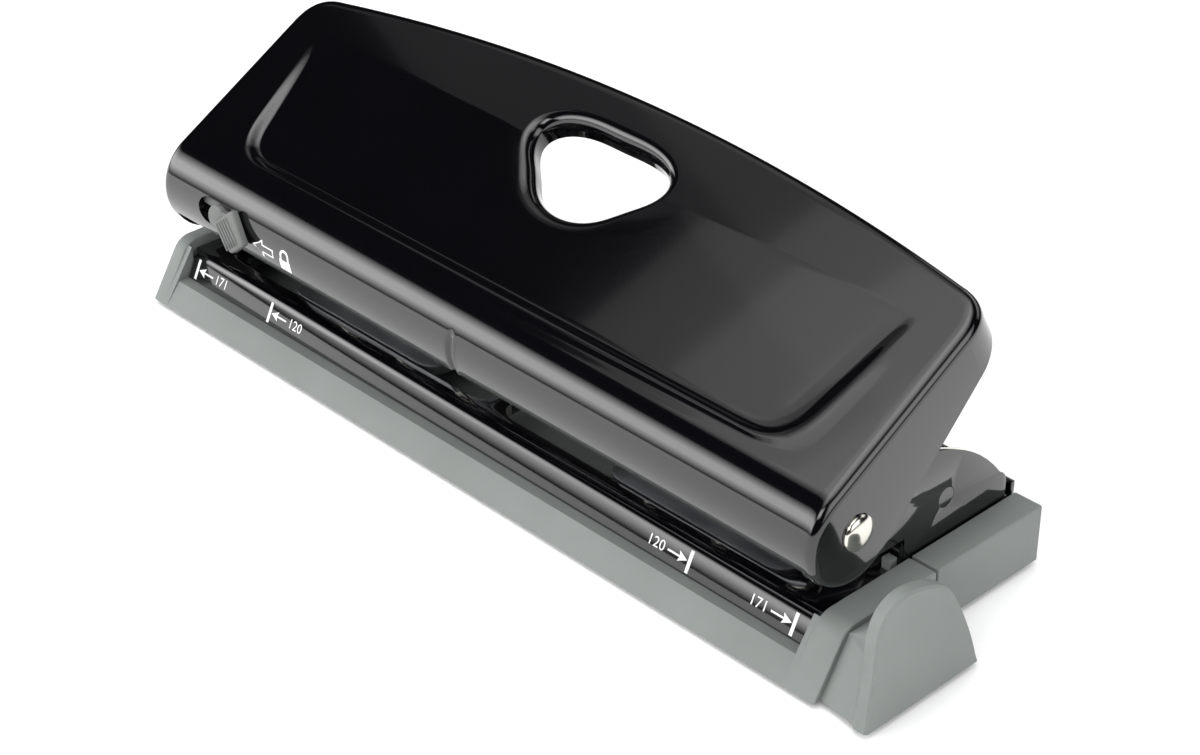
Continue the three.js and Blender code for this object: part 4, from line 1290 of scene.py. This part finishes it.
# Thumb ribs: their number and sizes, and shares of the button's width before the first and across them all
RIB_COUNT, RIB_RADIUS, RIB_LENGTH = 5, 0.32, 5.6
RIB_START_SHARE, RIB_ROW_SHARE = 0.09, 0.56


class PUNCH_OT_lock(bpy.types.Operator):
    """Makes the lock's carriage, plate, round neck and slanted button with its row of thumb ribs"""

    bl_idname = "punch.lock"
    bl_label = "Make the lock"

    def execute(self, context):
        reach = LOCK_FACE_REACH
        button = prism("lock_button", LOCK_FACE, reach - LOCK_THICKNESS, reach, LOCK_ROUNDING)
        for piece in LOCK_PIECES:
            prism(*piece)
        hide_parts("lock_slider")

        top_left, top_right, low_right, low_left = (Vector(p) for p in LOCK_FACE)
        left, right = top_left.lerp(low_left, 0.5), top_right.lerp(low_right, 0.5)
        along = ((low_left - top_left).normalized() + (low_right - top_right).normalized()).normalized()
        step = (right - left) * RIB_ROW_SHARE / (RIB_COUNT - 1)
        first = left + (right - left) * RIB_START_SHARE
        start = lock_place(first.x, first.y, reach)
        onward = lock_place(first.x + step.x, first.y + step.y, reach) - start
        way = (lock_place(along.x, along.y, 0) - lock_place(0, 0, 0)).normalized()
        turn = way.to_track_quat("Z", "X").to_euler()
        sizes = {"Count": RIB_COUNT, "Radius": RIB_RADIUS * MM, "Length": RIB_LENGTH * MM}
        places = {"Start": tuple(start), "Step": tuple(onward), "Turn": tuple(turn)}
        made = rib_row_tree().grow("lock_ribs", Paint=finish_of("lock_plastic"), **sizes, **places)
        made.data.shade_smooth()
        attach(made, "lock")
        return {"FINISHED"}


# Printed marks: the least mitre at a bend, how far print stands off the enamel, and the arrows' sizes
MITRE_LEAST, PRINT_LIFT = 0.35, 0.03
ARROW_HEAD, ARROW_WIDTH, ARROW_BARB, ARROW_HALF_SHARE = 1.8, 0.36, 0.35, 0.55
# Paper marks: the number and distance of each tick from their middle, and shares of the ramp's slope
PAPER_MARKS = (("171", 85.5), ("120", 60.5))
MARK_MIDDLE, MARK_LOW_SHARE, MARK_HIGH_SHARE = -7.85, 0.07, 0.79
TICK_WIDTH, ARROW_NEAR, ARROW_FAR, FIGURE_GAP, FIGURE_SIZE = 0.75, 0.55, 5.4, 0.7, 2.9
# The lock's outline arrow on the nose: both ends along X, its level and head, its half heights and its line
SIGN_LEFT, SIGN_RIGHT, SIGN_LEVEL, SIGN_HEAD = -66.95, -60.75, 26.15, 2.9
SIGN_HALF, SIGN_STEM_HALF, SIGN_LINE = 1.75, 0.8, 0.34
# The padlock sign: its body's sides and middle level, and the rows that follow the curved nose
BODY_LEFT, BODY_RIGHT, BODY_LEVEL = -58.6, -55.2, 24.95
BODY_ROWS, ROW_HEIGHT, ROW_LAP = 8, 0.29, 1.05
SHACKLE_MIDDLE, SHACKLE_RADIUS, SHACKLE_FOOT, SHACKLE_WIDTH = (-56.9, 27.1), 1.15, 26.1, 0.55
SHACKLE_STEPS = 12


def stroke(line, width, closed=False):
    """Points and faces of a line of even width, in its own plane."""
    points, faces = [], []
    count = len(line)
    for i, (x, y) in enumerate(line):
        before = line[i - 1] if closed or i else line[i]
        after = line[(i + 1) % count] if closed or i < count - 1 else line[i]
        ways = [Vector(w) for w in ((x - before[0], y - before[1]), (after[0] - x, after[1] - y))]
        ways = [w.normalized() for w in ways if w.length > 1e-9]
        way = sum(ways, Vector((0, 0))).normalized()
        side = Vector((-way.y, way.x)) * width / 2 / max(MITRE_LEAST, way.dot(ways[0]))
        points += [(x + side.x, y + side.y), (x - side.x, y - side.y)]
    for i in range(count if closed else count - 1):
        k = (i + 1) % count
        faces.append((2 * i, 2 * k, 2 * k + 1, 2 * i + 1))
    return points, faces


def arrow(tail, tip, level):
    """An arrow along X with a filled head, whose barbs reach back a little."""
    way = 1 if tip > tail else -1
    neck = tip - way * ARROW_HEAD
    barb, half = neck - way * ARROW_BARB, ARROW_HEAD * ARROW_HALF_SHARE
    points, faces = stroke([(tail, level), (neck, level)], ARROW_WIDTH)
    start = len(points)
    points += [(barb, level + half), (tip, level), (barb, level - half), (neck, level)]
    return points, faces + [(start, start + 3, start + 1), (start + 3, start + 2, start + 1)]


def figures(text, size, x, level, align):
    """Plain numbers as points and faces, from Blender's own font."""
    curve = bpy.data.curves.new("figures", "FONT")
    curve.body, curve.size = text, size
    curve.align_x, curve.align_y = align, "CENTER"
    curve.resolution_u = 3
    holder = bpy.data.objects.new("figures", curve)
    bpy.context.scene.collection.objects.link(holder)
    depsgraph = bpy.context.evaluated_depsgraph_get()
    mesh = bpy.data.meshes.new_from_object(holder.evaluated_get(depsgraph))
    points = [(v.co.x + x, v.co.y + level) for v in mesh.vertices]
    faces = [tuple(f.vertices) for f in mesh.polygons]
    bpy.data.objects.remove(holder)
    return points, faces


def joined(*shapes):
    points, faces = [], []
    for more_points, more_faces in shapes:
        start = len(points)
        points += more_points
        faces += [tuple(start + i for i in face) for face in more_faces]
    return points, faces


def on_ramp(point):
    """A point of the frame's front ramp, from its place along X and its distance up the slope."""
    foot, top = Vector(RAMP_FOOT), Vector(RAMP_TOP)
    up = (top - foot).normalized()
    out = Vector((-up.y, up.x)) * PRINT_LIFT
    y, z = foot + up * point[1] + out
    return Vector((point[0], y, z)) * MM


def on_nose(point):
    """A point of the nose, from its place along X and its level."""
    radius = settings()[0].nose_radius / MM + PRINT_LIFT
    y = PIVOT.y - math.sqrt(max(0.0, radius**2 - (point[1] - PIVOT.z) ** 2))
    return Vector((point[0], y, point[1])) * MM


def paper_marks():
    """Ticks, arrows and numbers of both papers, as places along X and up the ramp."""
    slope = (Vector(RAMP_TOP) - Vector(RAMP_FOOT)).length
    low, high = slope * MARK_LOW_SHARE, slope * MARK_HIGH_SHARE
    level = (low + high) / 2
    shapes = []
    for size, away in PAPER_MARKS:
        for side in (-1, 1):
            tick = side * away + MARK_MIDDLE
            near, far = tick - side * ARROW_NEAR, tick - side * ARROW_FAR
            align = "RIGHT" if side > 0 else "LEFT"
            shapes.append(stroke([(tick, low), (tick, high)], TICK_WIDTH))
            shapes.append(arrow(far, near, level))
            shapes.append(figures(size, FIGURE_SIZE, far - side * FIGURE_GAP, level, align))
    return joined(*shapes)


def arrow_sign():
    """The outline arrow that shows which way the lock slides."""
    neck = SIGN_LEFT + SIGN_HEAD
    upper = [(neck, SIGN_HALF), (neck, SIGN_STEM_HALF), (SIGN_RIGHT, SIGN_STEM_HALF)]
    lower = [(x, -rise) for x, rise in reversed(upper)]
    outline = [(SIGN_LEFT, 0)] + upper + lower
    return stroke([(x, SIGN_LEVEL + rise) for x, rise in outline], SIGN_LINE, closed=True)


def padlock_sign():
    rows = []
    for i in range(BODY_ROWS):
        level = BODY_LEVEL + (i - (BODY_ROWS - 1) / 2) * ROW_HEIGHT
        rows.append(stroke([(BODY_LEFT, level), (BODY_RIGHT, level)], ROW_HEIGHT * ROW_LAP))
    x, y = SHACKLE_MIDDLE
    turns = [math.pi * i / SHACKLE_STEPS for i in range(SHACKLE_STEPS + 1)]
    arch = [(x + SHACKLE_RADIUS * math.cos(t), y + SHACKLE_RADIUS * math.sin(t)) for t in turns]
    arch = [(arch[0][0], SHACKLE_FOOT)] + arch + [(arch[-1][0], SHACKLE_FOOT)]
    return joined(*rows, stroke(arch, SHACKLE_WIDTH))


class PUNCH_OT_marks(bpy.types.Operator):
    """Prints the paper marks on the ramp, and the lock's arrow and sign on the nose"""

    bl_idname = "punch.marks"
    bl_label = "Print the marks"

    def execute(self, context):
        self.printed("ramp_marks", paper_marks(), on_ramp, "base")
        self.printed("lock_signs", joined(arrow_sign(), padlock_sign()), on_nose, "handle")
        return {"FINISHED"}

    def printed(self, name, shape, place, body):
        points, faces = shape
        made = new_object(name, [place(p) for p in points], faces, finish_of("ink"), body)
        outward = Vector((0, -1, 0.3))
        for face in made.data.polygons:
            if face.normal.dot(outward) < 0:
                face.flip()


# Camera at the photograph's angle: place in millimetres, turn about Z and tilt down in degrees, lens, film
CAMERA_PLACE, CAMERA_TURN, CAMERA_TILT = (303.74, -284.77, 269.77), 46.30, 31.66
CAMERA_LENS, CAMERA_FILM, CAMERA_NEAR, CAMERA_FAR = 75.9, 36, 0.01, 20
FLOOR_REACH = 6.0
# The world's strength on dull surfaces, in reflections and for the camera
WORLD_LIGHT, WORLD_MIRRORED, WORLD_SEEN = 0.72, 0.015, 1.0
# Lamps: name, place, aim, width, depth, power, spin in degrees, layers that grade its edge
LAMPS = (
    ("lamp_over", (-0.01, -0.19, 0.85), (-0.01, -0.19, 0.0), 1.0, 0.9, 7.4, -35, 6),
    ("lamp_fill", (-0.42, 0.17, 0.95), (-0.42, 0.17, 0.0), 1.2, 0.88, 1.5, -22, 3),
    ("lamp_front", (-0.66, -0.84, 0.36), (0.0, 0.0, 0.03), 1.9, 0.66, 16.0, 0, 7),
    ("lamp_key", (0.3, -0.9, 0.75), (0.0, 0.0, 0.03), 0.6, 0.4, 3.0, 0, 2),
    ("lamp_right", (0.9, 0.0, 0.45), (0.0, 0.0, 0.03), 0.9, 0.7, 4.5, 0, 2),
    ("lamp_back", (0.1, 0.9, 0.6), (0.0, 0.0, 0.03), 1.2, 0.5, 2.0, 0, 2),
)
# Layers lie this far behind each other, and the smallest is narrower by about this share
LAYER_GAP, LAYER_FALL = 0.004, 0.8


def place_camera(scene):
    camera = bpy.data.cameras.new("camera")
    camera.lens, camera.sensor_width = CAMERA_LENS, CAMERA_FILM
    camera.clip_start, camera.clip_end = CAMERA_NEAR, CAMERA_FAR
    eye = bpy.data.objects.new("camera", camera)
    scene.collection.objects.link(eye)
    eye.location = Vector(CAMERA_PLACE) * MM
    eye.rotation_euler = (math.pi / 2 - math.radians(CAMERA_TILT), 0, math.radians(CAMERA_TURN))
    scene.camera = eye


def lay_floor(scene):
    """A plain, pale floor that keeps the punch's shadow."""
    mesh = bpy.data.meshes.new("floor")
    reach = FLOOR_REACH
    corners = [(-reach, -reach, 0), (reach, -reach, 0), (reach, reach, 0), (-reach, reach, 0)]
    mesh.from_pydata(corners, [], [(0, 1, 2, 3)])
    floor = bpy.data.objects.new("floor", mesh)
    scene.collection.objects.link(floor)
    finish = Finish("floor_white", Base_Color=(0.95, 0.95, 0.95, 1), Roughness=0.7, Specular_IOR_Level=0.2)
    mesh.materials.append(finish.material)


def light_world(scene):
    """A white world that the camera sees at full strength and the enamel hardly mirrors."""
    world = bpy.data.worlds.new("studio")
    scene.world = world
    world.use_nodes = True
    tree = world.node_tree

    def white(strength):
        values = {"Color": (1, 1, 1, 1), "Strength": strength}
        return new_node(tree, "ShaderNodeBackground", {}, values).outputs[0]

    path = new_node(tree, "ShaderNodeLightPath", {}, {})
    blend = white(WORLD_LIGHT)
    for ray, strength in (("Is Glossy Ray", WORLD_MIRRORED), ("Is Camera Ray", WORLD_SEEN)):
        values = {0: path.outputs[ray], 1: blend, 2: white(strength)}
        blend = new_node(tree, "ShaderNodeMixShader", {}, values).outputs[0]
    tree.links.new(blend, tree.nodes["World Output"].inputs["Surface"])


def soft_box(scene, name, place, aim, width, depth, power, spin, layers):
    """A lamp whose light falls off towards its edges, as layers of shrinking size."""
    toward = Vector(aim) - Vector(place)
    turn = toward.to_track_quat("-Z", "Y") @ Matrix.Rotation(math.radians(spin), 3, "Z").to_quaternion()
    for i in range(layers):
        share = 1 - LAYER_FALL * i / layers
        lamp = bpy.data.lights.new("%s_%d" % (name, i), "AREA")
        lamp.shape = "RECTANGLE"
        lamp.size, lamp.size_y = width - depth * (1 - share), depth * share
        lamp.energy = power * lamp.size * lamp.size_y / (width * depth) / layers
        made = bpy.data.objects.new(lamp.name, lamp)
        scene.collection.objects.link(made)
        made.location = Vector(place) - toward.normalized() * LAYER_GAP * i
        made.rotation_euler = turn.to_euler()


class PUNCH_OT_stage(bpy.types.Operator):
    """Sets the floor, the lamps and the camera at the photograph's angle"""

    bl_idname = "punch.stage"
    bl_label = "Set the stage"

    def execute(self, context):
        scene = context.scene
        scene.view_settings.view_transform = "Standard"
        place_camera(scene)
        lay_floor(scene)
        light_world(scene)
        for lamp in LAMPS:
            soft_box(scene, *lamp)
        return {"FINISHED"}


PIECES = (
    PUNCH_OT_handle,
    PUNCH_OT_frame,
    PUNCH_OT_base,
    PUNCH_OT_fittings,
    PUNCH_OT_units,
    PUNCH_OT_springs,
    PUNCH_OT_lock,
    PUNCH_OT_marks,
)


class PUNCH_PT_panel(bpy.types.Panel):
    """Lists the makers of the punch's pieces"""

    bl_idname = "PUNCH_PT_panel"
    bl_label = "Desk punch"
    bl_space_type = "VIEW_3D"
    bl_region_type = "UI"
    bl_category = "Punch"

    def draw(self, context):
        for maker in (PUNCH_OT_stage, *PIECES):
            self.layout.operator(maker.bl_idname)


SETTINGS = (
    ("punch_handle", PunchHandleSettings),
    ("punch_paint", PunchPaintSettings),
    ("punch_springs", PunchSpringSettings),
)


def register():
    for name, group in SETTINGS:
        bpy.utils.register_class(group)
        setattr(bpy.types.Scene, name, bpy.props.PointerProperty(type=group))
    for kind in (PUNCH_OT_stage, *PIECES, PUNCH_PT_panel):
        bpy.utils.register_class(kind)


def unregister():
    for kind in (PUNCH_PT_panel, *reversed(PIECES), PUNCH_OT_stage):
        bpy.utils.unregister_class(kind)
    for name, group in reversed(SETTINGS):
        delattr(bpy.types.Scene, name)
        bpy.utils.unregister_class(group)


def main():
    register()
    bpy.ops.punch.stage()
    for maker in PIECES:
        group, name = maker.bl_idname.split(".")
        getattr(getattr(bpy.ops, group), name)()


if __name__ == "__main__":
    main()
